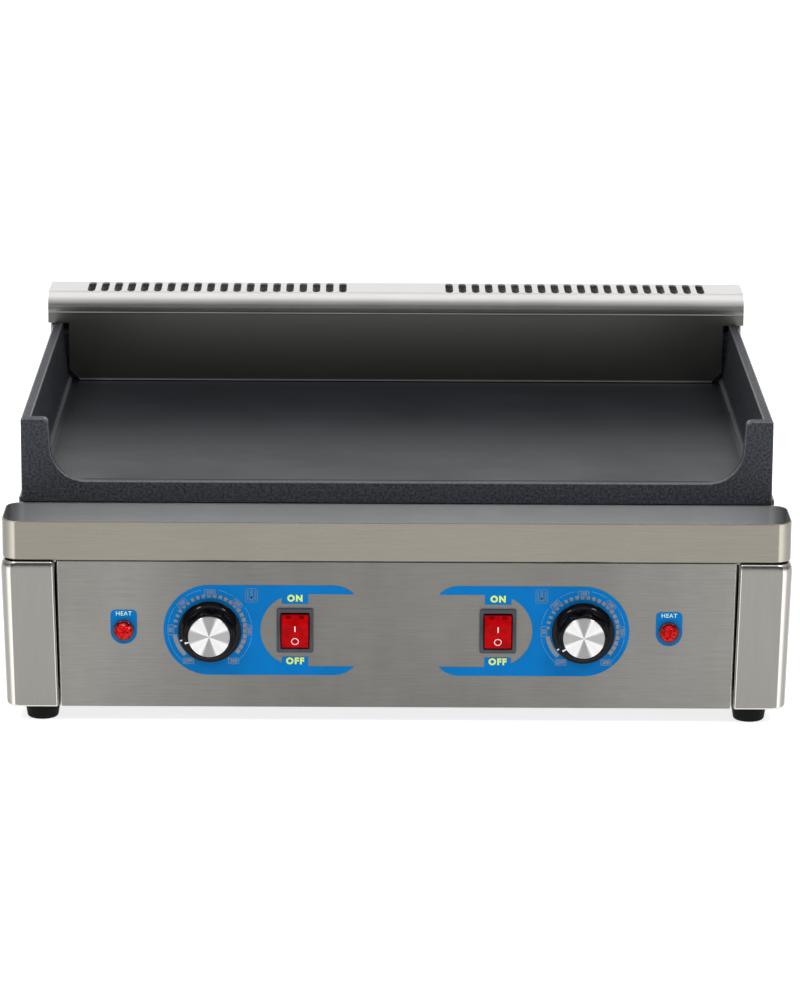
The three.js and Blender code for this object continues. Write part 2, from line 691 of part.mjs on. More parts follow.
// Rocker with bevelled ends and a pivot pin, resting with its lower end pushed in.
function rocker() {
  const half = 12.3;
  const flat = 8.6;
  const profile = [
    point(-4, flat), point(-4, -flat), point(-0.4, -half), point(1.2, -half),
    point(5, -7), point(5, 7), point(1.2, half), point(-0.4, half),
  ];
  const key = prismX(profile, -9.6, 9.6);
  return key.add(rodX(0, 0, 1.4, -10.4, 10.4, 10)).rotate([ROCKER_TILT, 0, 0]);
}

function lampLens() {
  const profile = [
    point(0, 3.4), point(5.6, 3.4), point(5.6, 1), point(7.3, 1), point(7.3, 2.2),
    ...arc(0, 0.2, 6.6, 24, 90, 3),
  ];
  return turnedForward(profile, 16);
}

function lampBody() {
  const barrel = rodY(0, 0, LAMP_RADIUS, -3, 22, 14);
  const collar = rodY(0, 0, 7.5, BEHIND_PANEL, BEHIND_PANEL + 4, 14);
  const blades = [-2.5, 2.5].map((x) => block(x - 0.4, x + 0.4, 21, 30, -1.6, 1.6));
  return join([barrel, collar, ...blades]);
}

// Printed field around one set of controls, drawn for the right-hand side: a round end about
// the knob and two bands that reach towards the middle above and below the switch.
function controlLabel() {
  const outerRadius = 32.4;
  const innerRadius = 26.1;
  const cutX = SWITCH_X - 1.2;
  const tip = 30;
  const tipEdge = innerRadius + 0.6;
  const field = new THREE.Shape();
  field.absarc(KNOB_X, 0, outerRadius, -Math.PI / 2, Math.PI / 2);
  field.lineTo(tip + 13, outerRadius);
  field.quadraticCurveTo(tip + 6, outerRadius - 0.6, tip, tipEdge);
  field.lineTo(tip, -tipEdge);
  field.quadraticCurveTo(tip + 6, 0.6 - outerRadius, tip + 13, -outerRadius);
  const y0 = -GAP - LABEL_THICKNESS;
  const y1 = -GAP;
  const bay = new THREE.Shape();
  bay.absarc(cutX, 0, innerRadius, -Math.PI / 2, Math.PI / 2);
  bay.lineTo(0, innerRadius);
  bay.lineTo(0, -innerRadius);
  const patches = [-1, 1].map((up) => block(
    SWITCH_X - 9.3, SWITCH_X + 9.3, y0, y1, up * 19.1, up * (innerRadius + 1),
  ));
  const knobHole = rodY(KNOB_X, 0, 9, -2, 1, 16);
  const body = cut(prismY(field, y0, y1, 10), [prismY(bay, -2, 1, 8), knobHole]);
  return join([body, ...patches]);
}

// Small printed patch around the signal lamp, round at its lower end.
function lampLabel() {
  const half = 9.25;
  const patch = new THREE.Shape();
  patch.absarc(0, -half / 9, half, Math.PI, 2 * Math.PI);
  patch.absarc(half - 3.5, 10.8, 3.5, 0, Math.PI / 2);
  patch.absarc(-half + 3.5, 10.8, 3.5, Math.PI / 2, Math.PI);
  const body = prismY(patch, -GAP - LABEL_THICKNESS, -GAP, 4);
  return cut(body, [rodY(0, 0, LAMP_RADIUS + 0.8, -2, 1, 14)]);
}

// ---------- electrical ----------

// Ceramic connector block with five poles, on the floor of the base pan.
function terminalBlock() {
  const floor = FOOT_HEIGHT + SHEET + GAP;
  const base = block(-32, 32, -12, 12, floor, floor + 12);
  const poles = [-24, -12, 0, 12, 24].map((x) => block(x - 4.4, x + 4.4, -9, 9, floor + 11, floor + 20));
  const screwWells = [-24, -12, 0, 12, 24].map((x) => rodZ(x, 0, 2.6, floor + 15, floor + 21, 6));
  return cut(join([base, ...poles]), screwWells);
}

// Cable gland: hexagon and clamping dome outside the rear panel, thread inside.
function cableGland() {
  const thread = rodY(0, 0, GLAND_RADIUS, -12, 1, 16);
  const hexagon = rodY(0, 0, 12.5, GAP, 5, 6);
  const profile = [
    point(0, 4.5), point(10.8, 4.5), point(10.8, 14), point(9.6, 18), point(7, 20.3), point(0, 20.3),
  ];
  const dome = turnedForward(profile, 12).scale([1, -1, 1]);
  const cableHole = rodY(0, 0, 4.4, -13, 21, 12);
  return cut(join([thread, hexagon, dome]), [cableHole]);
}

function glandNut() {
  const top = -SHEET - GAP;
  return cut(rodY(0, 0, 12, top - 5, top, 6), [rodY(0, 0, GLAND_RADIUS + 0.4, -13, 0, 16)]);
}

// Sleeved wires from the connector block to the controls, tied along the base pan.
function wiringLoom() {
  const height = FOOT_HEIGHT + SHEET + 5;
  const path = new THREE.CatmullRomCurve3([
    new THREE.Vector3(GLAND_X, 150, height + 2),
    new THREE.Vector3(GLAND_X, 128, height),
    new THREE.Vector3(GLAND_X, 0, height),
    new THREE.Vector3(GLAND_X + 4, -130, height),
    new THREE.Vector3(GLAND_X + 36, -166, height),
    new THREE.Vector3(GLAND_X + 80, -172, height),
    new THREE.Vector3(0, -172, height),
    new THREE.Vector3(KNOB_X, -172, height),
  ]);
  return tube(path, 3.5, 6, 26);
}

// ---------- assembly ----------

// pointer: degrees that each knob's pointer rests below the line towards -X.
const sides = [{ side: -1, hand: 'left', pointer: 17 }, { side: 1, hand: 'right', pointer: 33.5 }];

place('base_pan', basePan(), STAINLESS);
place('front_panel', frontPanel(), STAINLESS);
place('rear_panel', rearPanel(), STAINLESS);
place('tray_ledge', trayLedge(), STAINLESS);
place('griddle_plate', griddlePlate(), CAST_IRON);
place('rear_hood', rearHood(), STAINLESS);
place('rear_duct', rearDuct(), STAINLESS);
place('grease_tray', greaseTray(), STAINLESS);
place('heat_shield', heatShield(), STAINLESS);
place('insulation_mat', insulationMat(), CERAMIC_FIBRE);
place('wiring_loom', wiringLoom(), WIRE_SLEEVE);

function groupAt(x, y, z) {
  const group = new THREE.Group();
  group.position.set(x, y, z);
  griddle.add(group);
  return group;
}

place('terminal_block', terminalBlock(), CERAMIC, groupAt(GLAND_X, 165, 0));
const glandPlace = groupAt(GLAND_X, REAR, GLAND_Z);
place('cable_gland', cableGland(), BLACK_PLASTIC, glandPlace);
place('gland_nut', glandNut(), BLACK_PLASTIC, glandPlace);

for (const { side, hand, pointer } of sides) {
  place(`side_panel_${hand}`, sidePanel(side), STAINLESS);
  place(`heating_element_${hand}`, heatingElement(side), ELEMENT_STEEL);
  place(`element_clamp_${hand}`, elementClamp(side), PLATED);
  place(`clamp_nut_${hand}`, clampNut(), PLATED, groupAt(side * KNOB_X, STUD_Y, 0));
  place(`hood_screw_${hand}`, hoodScrew(), PLATED, groupAt(side * HOOD_SCREW_X, HOOD_BACK, HOOD_SCREW_Z));
  place(`thermostat_sensor_${hand}`, thermostatSensor(), COPPER, groupAt(side * KNOB_X, 0, 0));
  place(
    `control_label_${hand}`, controlLabel().scale([side, 1, 1]), PRINT_BLUE, groupAt(0, FRONT, CONTROL_Z),
  );
  const knobPlace = groupAt(side * KNOB_X, FRONT, CONTROL_Z);
  place(`thermostat_body_${hand}`, thermostatBody(), CERAMIC, knobPlace);
  place(`thermostat_nut_${hand}`, thermostatNut(), PLATED, knobPlace);
  const turned = [0, -pointer, 0];
  place(`thermostat_shaft_${hand}`, thermostatShaft().rotate(turned), PLATED, knobPlace);
  place(`knob_${hand}`, knob().rotate(turned), BLACK_PLASTIC, knobPlace);
  place(`knob_cap_${hand}`, knobCap(), ALUMINIUM, knobPlace);
  const switchPlace = groupAt(side * SWITCH_X, FRONT, CONTROL_Z);
  place(`switch_housing_${hand}`, switchHousing(), BLACK_PLASTIC, switchPlace);
  place(`rocker_${hand}`, rocker(), RED_PLASTIC, switchPlace);
  const lampPlace = groupAt(side * LAMP_X, FRONT, CONTROL_Z);
  place(`lamp_label_${hand}`, lampLabel(), PRINT_BLUE, lampPlace);
  place(`lamp_lens_${hand}`, lampLens(), RED_PLASTIC, lampPlace);
  place(`lamp_body_${hand}`, lampBody(), BLACK_PLASTIC, lampPlace);
  for (const { end, y, facing } of [
    { end: 'front', y: FOOT_FRONT_Y, facing: 1 },
    { end: 'rear', y: FOOT_REAR_Y, facing: -1 },
  ]) {
    const shift = facing === 1 ? 0 : REAR + FRONT;
    const post = cornerPost().scale([side, facing, 1]).translate([0, shift, 0]);
    place(`corner_post_${end}_${hand}`, post, STAINLESS);
    const footPlace = groupAt(side * FOOT_X, y, 0);
    place(`foot_${end}_${hand}`, rubberFoot(), RUBBER, footPlace);
    place(`foot_screw_${end}_${hand}`, footScrew(), PLATED, footPlace);
  }
}

export default griddle;
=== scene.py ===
"""The looks of the flat top griddle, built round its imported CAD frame.

Sizes in the code are millimetres, in the row frame: +Z up, the front towards -Y. Meshes are
scaled to metres as they are made. Places come from the frame's boxes.
"""

import math

import bmesh
import bpy
from mathutils import Matrix, Vector


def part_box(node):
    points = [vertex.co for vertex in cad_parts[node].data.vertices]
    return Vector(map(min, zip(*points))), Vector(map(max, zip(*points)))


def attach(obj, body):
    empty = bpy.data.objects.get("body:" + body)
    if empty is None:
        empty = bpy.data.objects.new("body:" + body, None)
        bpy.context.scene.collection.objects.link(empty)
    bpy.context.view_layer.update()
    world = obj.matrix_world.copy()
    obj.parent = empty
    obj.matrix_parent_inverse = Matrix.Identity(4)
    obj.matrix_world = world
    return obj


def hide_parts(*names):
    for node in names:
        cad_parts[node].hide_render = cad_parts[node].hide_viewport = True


MM = 0.001
SIDES = (("left", -1), ("right", 1))

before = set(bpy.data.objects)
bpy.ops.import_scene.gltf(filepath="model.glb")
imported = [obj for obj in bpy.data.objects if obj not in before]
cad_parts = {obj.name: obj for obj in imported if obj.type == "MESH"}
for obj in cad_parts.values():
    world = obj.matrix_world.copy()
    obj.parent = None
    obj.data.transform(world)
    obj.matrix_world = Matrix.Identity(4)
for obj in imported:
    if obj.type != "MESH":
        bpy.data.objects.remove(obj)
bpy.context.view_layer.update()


# ---------- places taken from the frame ----------


def box_mm(name):
    """A CAD node's lowest and highest corners, in millimetres."""
    low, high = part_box(name)
    return low / MM, high / MM


def middle(name):
    """The middle of a CAD node's box, in millimetres."""
    low, high = box_mm(name)
    return (low + high) / 2


panel_low, panel_high = box_mm("front_panel")
FRONT = panel_low.y
PANEL_HALF = panel_high.x
plate_low, plate_high = box_mm("griddle_plate")
hood_low, hood_high = box_mm("rear_hood")
tray_low, tray_high = box_mm("grease_tray")
CABINET_HALF = box_mm("side_panel_right")[1].x
CONTROL_Z = middle("knob_cap_right").z
KNOB_X = middle("knob_cap_right").x
SWITCH_X = middle("switch_housing_right").x
LAMP_X = middle("lamp_lens_right").x
FLOOR_Z = hood_low.z - 0.6  # the cooking surface is just under the splashback's edge


# ---------- outlines ----------


def arc(x, y, radius, start, end, steps):
    """Points along an arc, angles in degrees."""
    angles = [math.radians(start + (end - start) * i / steps) for i in range(steps + 1)]
    return [(x + radius * math.cos(a), y + radius * math.sin(a)) for a in angles]


def quarter_turn(steps):
    """The (cosine, sine) pairs of angles from 0 to 90 degrees, for rounded edges."""
    angles = [math.pi / 2 * k / steps for k in range(steps + 1)]
    return [(math.cos(a), math.sin(a)) for a in angles]


def rounded(corners, steps, closed=True):
    """An outline through (x, y, radius) corners, each rounded by its own radius."""
    outline = []
    count = len(corners)
    for i, (x, y, radius) in enumerate(corners):
        here = Vector((x, y))
        end = not closed and i in (0, count - 1)
        if radius <= 0 or end:
            outline.append((x, y))
            continue
        before = (Vector(corners[i - 1][:2]) - here).normalized()
        after = (Vector(corners[(i + 1) % count][:2]) - here).normalized()
        half = before.angle(after) / 2
        centre = here + (before + after).normalized() * (radius / math.sin(half))
        first = here + before * (radius / math.tan(half)) - centre
        last = here + after * (radius / math.tan(half)) - centre
        sweep = math.atan2(first.x * last.y - first.y * last.x, first.dot(last))
        for k in range(steps + 1):
            turned = Matrix.Rotation(sweep * k / steps, 2) @ first
            outline.append(tuple(centre + turned))
    return outline


def directions(points):
    """Unit vectors from each point to the next."""
    return [(Vector(b) - Vector(a)).normalized() for a, b in zip(points, points[1:])]


def mitred(here, arrive, leave, distance):
    """The point to the left of a corner, at a distance from both lines that meet there."""
    mitre = Vector((-arrive.y - leave.y, arrive.x + leave.x))
    return tuple(Vector(here) + mitre * (2 * distance / mitre.length_squared))


def sheet_outline(line, thickness):
    """The closed outline of a sheet along a line, its thickness to the left of the line."""
    ways = directions(line)
    corners = zip(line, ways[:1] + ways, ways + ways[-1:])
    inner = [mitred(*corner, thickness) for corner in corners]
    return line + inner[::-1]


def rounded_box(half_x, low_y, high_y, radius, steps):
    corners = [(-half_x, low_y), (half_x, low_y), (half_x, high_y), (-half_x, high_y)]
    return rounded([(x, y, radius) for x, y in corners], steps)


def circle(radius, count):
    return [
        (radius * math.cos(2 * math.pi * i / count), radius * math.sin(2 * math.pi * i / count))
        for i in range(count)
    ]


def at_height(outline, z):
    """A flat outline's points as 3-D points at one height."""
    return [(x, y, z) for x, y in outline]


# ---------- meshes ----------


def loft(loops):
    """Vertices and faces of a closed skin through loops of 3-D points, all of one length."""
    count = len(loops[0])
    vertices = [point for loop in loops for point in loop]
    faces = []
    for level in range(len(loops) - 1):
        low = level * count
        for i in range(count):
            j = (i + 1) % count
            faces.append((low + i, low + j, low + count + j, low + count + i))
    faces.append(tuple(reversed(range(count))))
    faces.append(tuple(range(len(vertices) - count, len(vertices))))
    return vertices, faces


def lathe(profile, count):
    """A (radius, height) profile turned about +Z; a point on the axis becomes one vertex."""
    vertices = []
    rings = []
    for radius, height in profile:
        start = len(vertices)
        if radius < 1e-6:
            vertices.append((0, 0, height))
            rings.append([start] * count)
        else:
            vertices += [(x, y, height) for x, y in circle(radius, count)]
            rings.append(list(range(start, start + count)))
    faces = []
    for low, high in zip(rings, rings[1:]):
        for i in range(count):
            j = (i + 1) % count
            corners = [low[i], low[j], high[j], high[i]]
            face = [c for k, c in enumerate(corners) if c != corners[k - 1]]
            if len(face) > 2:
                faces.append(tuple(face))
    return vertices, faces


def raised(outline, low, high, edge=0):
    """An outline in X and Y raised from low to high, its upper edge rounded by edge."""
    loops = [at_height(outline, low)]
    for cosine, sine in quarter_turn(3) if edge else [(1, 0)]:
        loops.append(at_height(shrink(outline, edge * (1 - cosine)), high - edge + edge * sine))
    return loft(loops)


def shrink(outline, distance):
    """The outline moved inwards, for a counter-clockwise outline with gentle corners."""
    ways = directions(outline + outline[:1])
    return [mitred(here, ways[i - 1], ways[i], distance) for i, here in enumerate(outline)]


def merged(parts):
    """Several (vertices, faces) pairs as one."""
    vertices = []
    faces = []
    for more, linked in parts:
        base = len(vertices)
        vertices += more
        faces += [tuple(base + k for k in face) for face in linked]
    return vertices, faces


def moved(part, matrix):
    vertices, faces = part
    return [tuple(matrix @ Vector(v)) for v in vertices], faces


def placed(part, x=0, y=0, z=0):
    return moved(part, Matrix.Translation((x, y, z)))


# Turns a part built along +Z so that its top faces the front: X stays, Y becomes up.
TO_FRONT = Matrix(((1, 0, 0, 0), (0, 0, -1, 0), (0, 1, 0, 0), (0, 0, 0, 1)))


def on_panel(part, x, z=CONTROL_Z):
    """A part built face up about its own centre, stood on the front panel's face."""
    return moved(part, Matrix.Translation((x, FRONT, z)) @ TO_FRONT)


def shade(made, sharp):
    """Smooth shading that keeps flat faces flat, with hard edges above an angle."""
    made.data.shade_smooth()
    made.data.set_sharp_from_angle(angle=math.radians(sharp))
    weighted = made.modifiers.new("weighted", "WEIGHTED_NORMAL")
    weighted.keep_sharp = True
    weighted.weight = 90


def in_scene(name, data):
    """A new object for a mesh, a light, a camera or a text, linked into the scene."""
    made = bpy.data.objects.new(name, data)
    bpy.context.scene.collection.objects.link(made)
    return made


def solid(name, part, weld):
    """An object from (vertices, faces) in millimetres, its faces turned outwards."""
    vertices, faces = part
    mesh = bpy.data.meshes.new(name)
    mesh.from_pydata([Vector(v) * MM for v in vertices], [], faces)
    work = bmesh.new()
    work.from_mesh(mesh)
    if weld:
        bmesh.ops.remove_doubles(work, verts=work.verts, dist=1e-7)
        bmesh.ops.dissolve_degenerate(work, edges=work.edges, dist=1e-7)
    bmesh.ops.recalc_face_normals(work, faces=work.faces)
    work.to_mesh(mesh)
    work.free()
    return in_scene(name, mesh)


def piece(name, part, material, body="cabinet", replaces=(), sharp=32):
    """A visible piece from (vertices, faces) in millimetres, riding on a body."""
    made = solid(name, part, weld=True)
    made.data.materials.append(material)
    shade(made, sharp)
    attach(made, body)
    if replaces:
        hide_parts(*replaces)
    return made


def carve(target, parts, sharp=32):
    """Cuts parts out of the target's mesh, by a tool that is deleted after use."""
    tool = solid("tool", merged(parts), weld=False)
    target.modifiers.clear()
    cutter = target.modifiers.new("cut", "BOOLEAN")
    cutter.object = tool
    cutter.operation = "DIFFERENCE"
    cutter.solver = "EXACT"
    cutter.use_self = True
    depsgraph = bpy.context.evaluated_depsgraph_get()
    result = bpy.data.meshes.new_from_object(target.evaluated_get(depsgraph))
    target.modifiers.clear()
    target.data = result
    shade(target, sharp)
    bpy.data.objects.remove(tool)


# ---------- material helpers ----------


def node(tree, kind, inputs=None, **settings):
    """A shader node; an input is either a value or the socket that feeds it."""
    made = tree.nodes.new(kind)
    for key, value in settings.items():
        setattr(made, key, value)
    for key, value in (inputs or {}).items():
        if isinstance(value, bpy.types.NodeSocket):
            tree.links.new(value, made.inputs[key])
        else:
            made.inputs[key].default_value = value
    return made


def new_material(name, **fixed):
    """A material with its shader; fixed holds the shader's uniform values."""
    material = bpy.data.materials.new(name)
    material.use_nodes = True
    tree = material.node_tree
    shader = tree.nodes["Principled BSDF"]
    for key, value in fixed.items():
        shader.inputs[key.replace("_", " ")].default_value = value
    return material, tree, shader


def wired(tree, shader, **sockets):
    """Links sockets to the shader's inputs, whose names are written with _ for a space."""
    for name, socket in sockets.items():
        tree.links.new(socket, shader.inputs[name.replace("_", " ")])


def maths(tree, operation, *values, kind="ShaderNodeMath", result="Value"):
    """What a maths node makes of one or two values or sockets."""
    return node(tree, kind, dict(enumerate(values)), operation=operation).outputs[result]


def place_of(tree):
    return node(tree, "ShaderNodeTexCoord").outputs["Object"]


def noise(tree, place, scale, detail, roughness, stretch=None):
    """Noise at a scale in cells per metre, stretched by its share along each axis."""
    if stretch:
        place = node(tree, "ShaderNodeMapping", {"Vector": place, "Scale": stretch}).outputs["Vector"]
    inputs = {"Vector": place, "Scale": scale, "Detail": detail, "Roughness": roughness}
    return node(tree, "ShaderNodeTexNoise", inputs).outputs["Fac"]


def between(tree, factor, low, high, from_low=0.3, from_high=0.7):
    """A value from low to high as the factor goes over its range."""
    inputs = {
        "Value": factor, "From Min": from_low, "From Max": from_high, "To Min": low, "To Max": high,
    }
    return node(tree, "ShaderNodeMapRange", inputs).outputs["Result"]


def shades(tree, factor, stops):
    """A colour by a factor, through (position, colour) stops."""
    ramp = node(tree, "ShaderNodeValToRGB", {"Fac": factor})
    elements = ramp.color_ramp.elements
    while len(elements) < len(stops):
        elements.new(0.5)
    for element, (position, colour) in zip(elements, stops):
        element.position = position
        element.color = (*colour, 1)
    return ramp.outputs["Color"]


def tinted(colour, amount):
    return tuple(min(1, c * amount) for c in colour)


def uneven(tree, factor, colour, low, high, first=0.3, last=0.7):
    """A colour that goes from low to high times itself as the factor goes from first to last."""
    return shades(tree, factor, [(first, tinted(colour, low)), (last, tinted(colour, high))])


def bumped(tree, shader, height, strength, distance, under=None):
    """Gives the shader a bump, on top of another if under is given."""
    inputs = {"Height": height, "Strength": strength, "Distance": distance}
    if under:
        inputs["Normal"] = under
    normal = node(tree, "ShaderNodeBump", inputs).outputs["Normal"]
    wired(tree, shader, Normal=normal)
    return normal


def mixed(tree, factor, first, second, blend="MIX"):
    inputs = {0: factor, 6: first, 7: second}
    return node(tree, "ShaderNodeMix", inputs, data_type="RGBA", blend_type=blend).outputs[2]


# ---------- materials ----------


def brushed_steel(
    name, colour, roughness, along, grain=0.10, mottle=0.06, depth=0.1, bends=None, rise=0.5, ends=None
):
    """Steel with fine lines along one axis and broad cloudy stains.

    bends gives the tones of a painted highlight and painted shade over the corners: 0 for a face
    square to the front, 1 for one that faces sideways. rise is what a face that looks up counts as.
    ends gives painted light: tones by the distance from the middle of the appliance, in metres.
    """
    material, tree, shader = new_material(name, Metallic=1.0)
    place = place_of(tree)
    across = {"x": (0.03, 1, 1), "y": (1, 0.03, 1), "z": (1, 1, 0.03)}[along]
    lines = noise(tree, place, 2200, 2, 0.7, across)
    coarse = noise(tree, place, 800, 2, 0.6, across)
    cloud = noise(tree, place, 13, 4, 0.55, (1, 1, 0.35))
    tones = [
        shades(tree, cloud, [(0.34, (1 - mottle,) * 3), (0.66, (1.0,) * 3)]),
        shades(tree, coarse, [(0.36, (1 - 1.2 * grain,) * 3), (0.64, (1.0,) * 3)]),
    ]
    if bends:
        tones.append(shades(tree, turned_away(tree, rise), bends))
    if ends:
        tones.append(shades(tree, aside(tree, place), ends))
    paint = uneven(tree, lines, colour, 1 - grain, 1 + grain)
    for tone in tones:
        paint = mixed(tree, 1.0, paint, tone, "MULTIPLY")
    smear = between(tree, cloud, roughness - 0.3 * mottle, roughness + 0.3 * mottle)
    streak = between(tree, coarse, -0.2 * grain, 0.2 * grain)
    wired(tree, shader, Base_Color=paint, Roughness=maths(tree, "ADD", smear, streak))
    bumped(tree, shader, lines, depth, 0.00003)
    return material


def aside(tree, place):
    """The distance from the appliance's middle plane."""
    apart = node(tree, "ShaderNodeSeparateXYZ", {"Vector": place})
    return maths(tree, "ABSOLUTE", apart.outputs["X"])


def turned_away(tree, rise):
    """How far the surface turns from the front, by the size of its normal's X and Z parts."""
    normal = node(tree, "ShaderNodeTexCoord").outputs["Normal"]
    apart = node(tree, "ShaderNodeSeparateXYZ", {"Vector": normal})
    sideways = maths(tree, "ABSOLUTE", apart.outputs["X"])
    upwards = maths(tree, "MULTIPLY", maths(tree, "ABSOLUTE", apart.outputs["Z"]), rise)
    return maths(tree, "MAXIMUM", sideways, upwards)


def cast_iron(name, colour, roughness, cell, depth, sheen):
    """Seasoned cast iron: a pebbled or ground face with darker pores."""
    cool = (0.84, 0.92, 1.0, 1)
    material, tree, shader = new_material(name, Specular_IOR_Level=sheen, Specular_Tint=cool)
    place = place_of(tree)
    pebbles = noise(tree, place, cell, 3, 0.55)
    pores = noise(tree, place, cell * 2.7, 2, 0.6)
    cloud = noise(tree, place, 11, 4, 0.6)
    contrast = 0.1 + 0.5 * depth
    base = uneven(tree, pebbles, colour, 1 - contrast, 1 + contrast, 0.42, 0.58)
    stained = shades(tree, cloud, [(0.3, (0.86, 0.87, 0.88)), (0.7, (1, 1, 1))])
    paint = mixed(tree, 1.0, base, stained, "MULTIPLY")
    rough = between(tree, cloud, roughness - 0.05, roughness + 0.07)
    wired(tree, shader, Base_Color=paint, Roughness=rough)
    first = bumped(tree, shader, pebbles, depth, 0.0011)
    bumped(tree, shader, pores, depth * 0.5, 0.0002, first)
    return material


def moulded(name, colour, roughness, texture=900, depth=0.05, **fixed):
    """Moulded plastic or rubber with a faint skin texture and dulled patches."""
    material, tree, shader = new_material(name, **fixed)
    place = place_of(tree)
    worn = noise(tree, place, 60, 3, 0.6)
    paint = uneven(tree, worn, colour, 0.88, 1.12)
    rough = between(tree, worn, roughness - 0.03, roughness + 0.05)
    wired(tree, shader, Base_Color=paint, Roughness=rough)
    bumped(tree, shader, noise(tree, place, texture, 2, 0.5), depth, 0.0001)
    return material


def spun_aluminium():
    """Aluminium faced on a lathe: fine rings, and bright wedges about each cap's own centre, a painted
    highlight.
    """
    material, tree, shader = new_material(
        "spun_aluminium", Metallic=1.0, Anisotropic=0.97, Anisotropic_Rotation=0.25
    )
    vectors = "ShaderNodeVectorMath"
    own = node(tree, "ShaderNodeTexCoord").outputs["Generated"]
    centred = maths(tree, "SUBTRACT", own, (0.5, 0.5, 0.5), kind=vectors, result="Vector")
    flat = maths(tree, "MULTIPLY", centred, (1, 0, 1), kind=vectors, result="Vector")
    reach = maths(tree, "LENGTH", flat, kind=vectors)
    inputs = {"W": reach, "Scale": 160.0, "Detail": 3.0}
    rings = node(tree, "ShaderNodeTexNoise", inputs, noise_dimensions="1D").outputs["Fac"]
    # Four bright wedges by angle about the centre: a painted highlight.
    apart = node(tree, "ShaderNodeSeparateXYZ", {"Vector": flat})
    around = maths(tree, "ARCTAN2", apart.outputs["Z"], apart.outputs["X"])
    wave = maths(tree, "COSINE", maths(tree, "MULTIPLY", around, -4.0))
    wedge = between(tree, wave, 1.0, 0.0, -0.25, 0.45)
    glint = shades(tree, wedge, [(0.0, (0.44, 0.44, 0.44)), (1.0, (1.0, 1.0, 1.0))])
    turned = shades(tree, rings, [(0.3, (0.70, 0.70, 0.695)), (0.7, (0.84, 0.84, 0.835))])
    tangent = node(tree, "ShaderNodeTangent", direction_type="RADIAL", axis="Y")
    wired(
        tree,
        shader,
        Base_Color=mixed(tree, 1.0, turned, glint, "MULTIPLY"),
        Roughness=between(tree, rings, 0.27, 0.34),
        Tangent=tangent.outputs["Tangent"],
    )
    bumped(tree, shader, rings, 0.08, 0.00003)
    return material


def printed(name, colour):
    """Screen-printed ink: slightly uneven colour and a faint orange-peel skin."""
    material, tree, shader = new_material(name, Specular_IOR_Level=0.06)
    place = place_of(tree)
    patches = noise(tree, place, 45, 3, 0.6)
    paint = uneven(tree, patches, colour, 0.93, 1.06)
    wired(tree, shader, Base_Color=paint, Roughness=between(tree, patches, 0.38, 0.48))
    bumped(tree, shader, noise(tree, place, 1400, 2, 0.5), 0.06, 0.00005)
    return material


def glowing_red(name, colour, roughness, glow, gloss, cell=160, contrast=0.18):
    """Red plastic that lets light through, brighter in its thin places; the glow is painted, save in the
    lamp.
    """
    material, tree, shader = new_material(name, Emission_Strength=glow, Specular_IOR_Level=gloss)
    place = place_of(tree)
    depth = noise(tree, place, cell, 3, 0.6)
    paint = uneven(tree, depth, colour, 1 - contrast, 1 + contrast, 0.38, 0.62)
    rough = between(tree, depth, roughness - 0.03, roughness + 0.05)
    wired(tree, shader, Base_Color=paint, Emission_Color=paint, Roughness=rough)
    bumped(tree, shader, noise(tree, place, 900, 2, 0.5), 0.04, 0.00005)
    return material


def woven(name, colour, roughness, cell, depth):
    """Fibre mat or braided sleeve: a fine crossed texture."""
    material, tree, shader = new_material(name)
    place = place_of(tree)
    first = noise(tree, place, cell, 2, 0.5, (0.3, 1, 1))
    second = noise(tree, place, cell, 2, 0.5, (1, 0.3, 1))
    height = maths(tree, "MULTIPLY", first, second)
    paint = uneven(tree, height, colour, 0.75, 1.15, 0.12, 0.42)
    rough = between(tree, height, roughness - 0.06, roughness, 0.1, 0.4)
    wired(tree, shader, Base_Color=paint, Roughness=rough)
    bumped(tree, shader, height, depth, 0.0004)
    return material


def greys(*stops):
    """Colour stops from (position, tone) pairs, slightly warm where they are dark."""
    return [(position, (tone, tone * 0.985, tone * 0.955)) for position, tone in stops]


# Across a pressed post's corner, by how far it turns: the face, a painted highlight band, then a tan
# shoulder and a dull side in painted shade.
POST_CORNER_LIGHT = greys(
    (0.0, 0.30), (0.27, 0.30), (0.34, 1.0), (0.50, 0.85), (0.62, 0.42), (0.82, 0.33), (1.0, 0.42)
)
# Across the tray's corner: a painted highlight band, softer than the posts', and painted shade past it.
TRAY_CORNER_LIGHT = greys(
    (0.0, 0.30), (0.22, 0.30), (0.32, 0.70), (0.45, 0.62), (0.62, 0.40), (0.86, 0.26), (1.0, 0.30)
)
# Inside the tray: the corners are in shade.
TRAY_SHADE = greys((0.0, 1.0), (0.15, 1.0), (0.5, 0.55), (1.0, 0.40))
# Up the hood's bend, by how far the face looks up: the face below it in painted shade, its dark foot,
# then a painted highlight up to the bright top.
HOOD_BEND_LIGHT = greys(
    (0.0, 0.17), (0.09, 0.29), (0.27, 0.40), (0.44, 0.38), (0.59, 0.56), (0.71, 0.74), (0.90, 0.80),
    (1.0, 1.0),
)
# Over the panel's folded edge: only the fold itself is bright, a painted highlight.
FOLD_LIGHT = greys((0.0, 0.305), (0.25, 0.305), (0.4, 1.0), (0.9, 1.0), (1.0, 0.35))
# Along the panel: painted light, lighter towards the posts.
PANEL_END_LIGHT = [(0.10, (0.74,) * 3), (0.16, (0.86, 0.865, 0.88)), (0.225, (1.0,) * 3)]

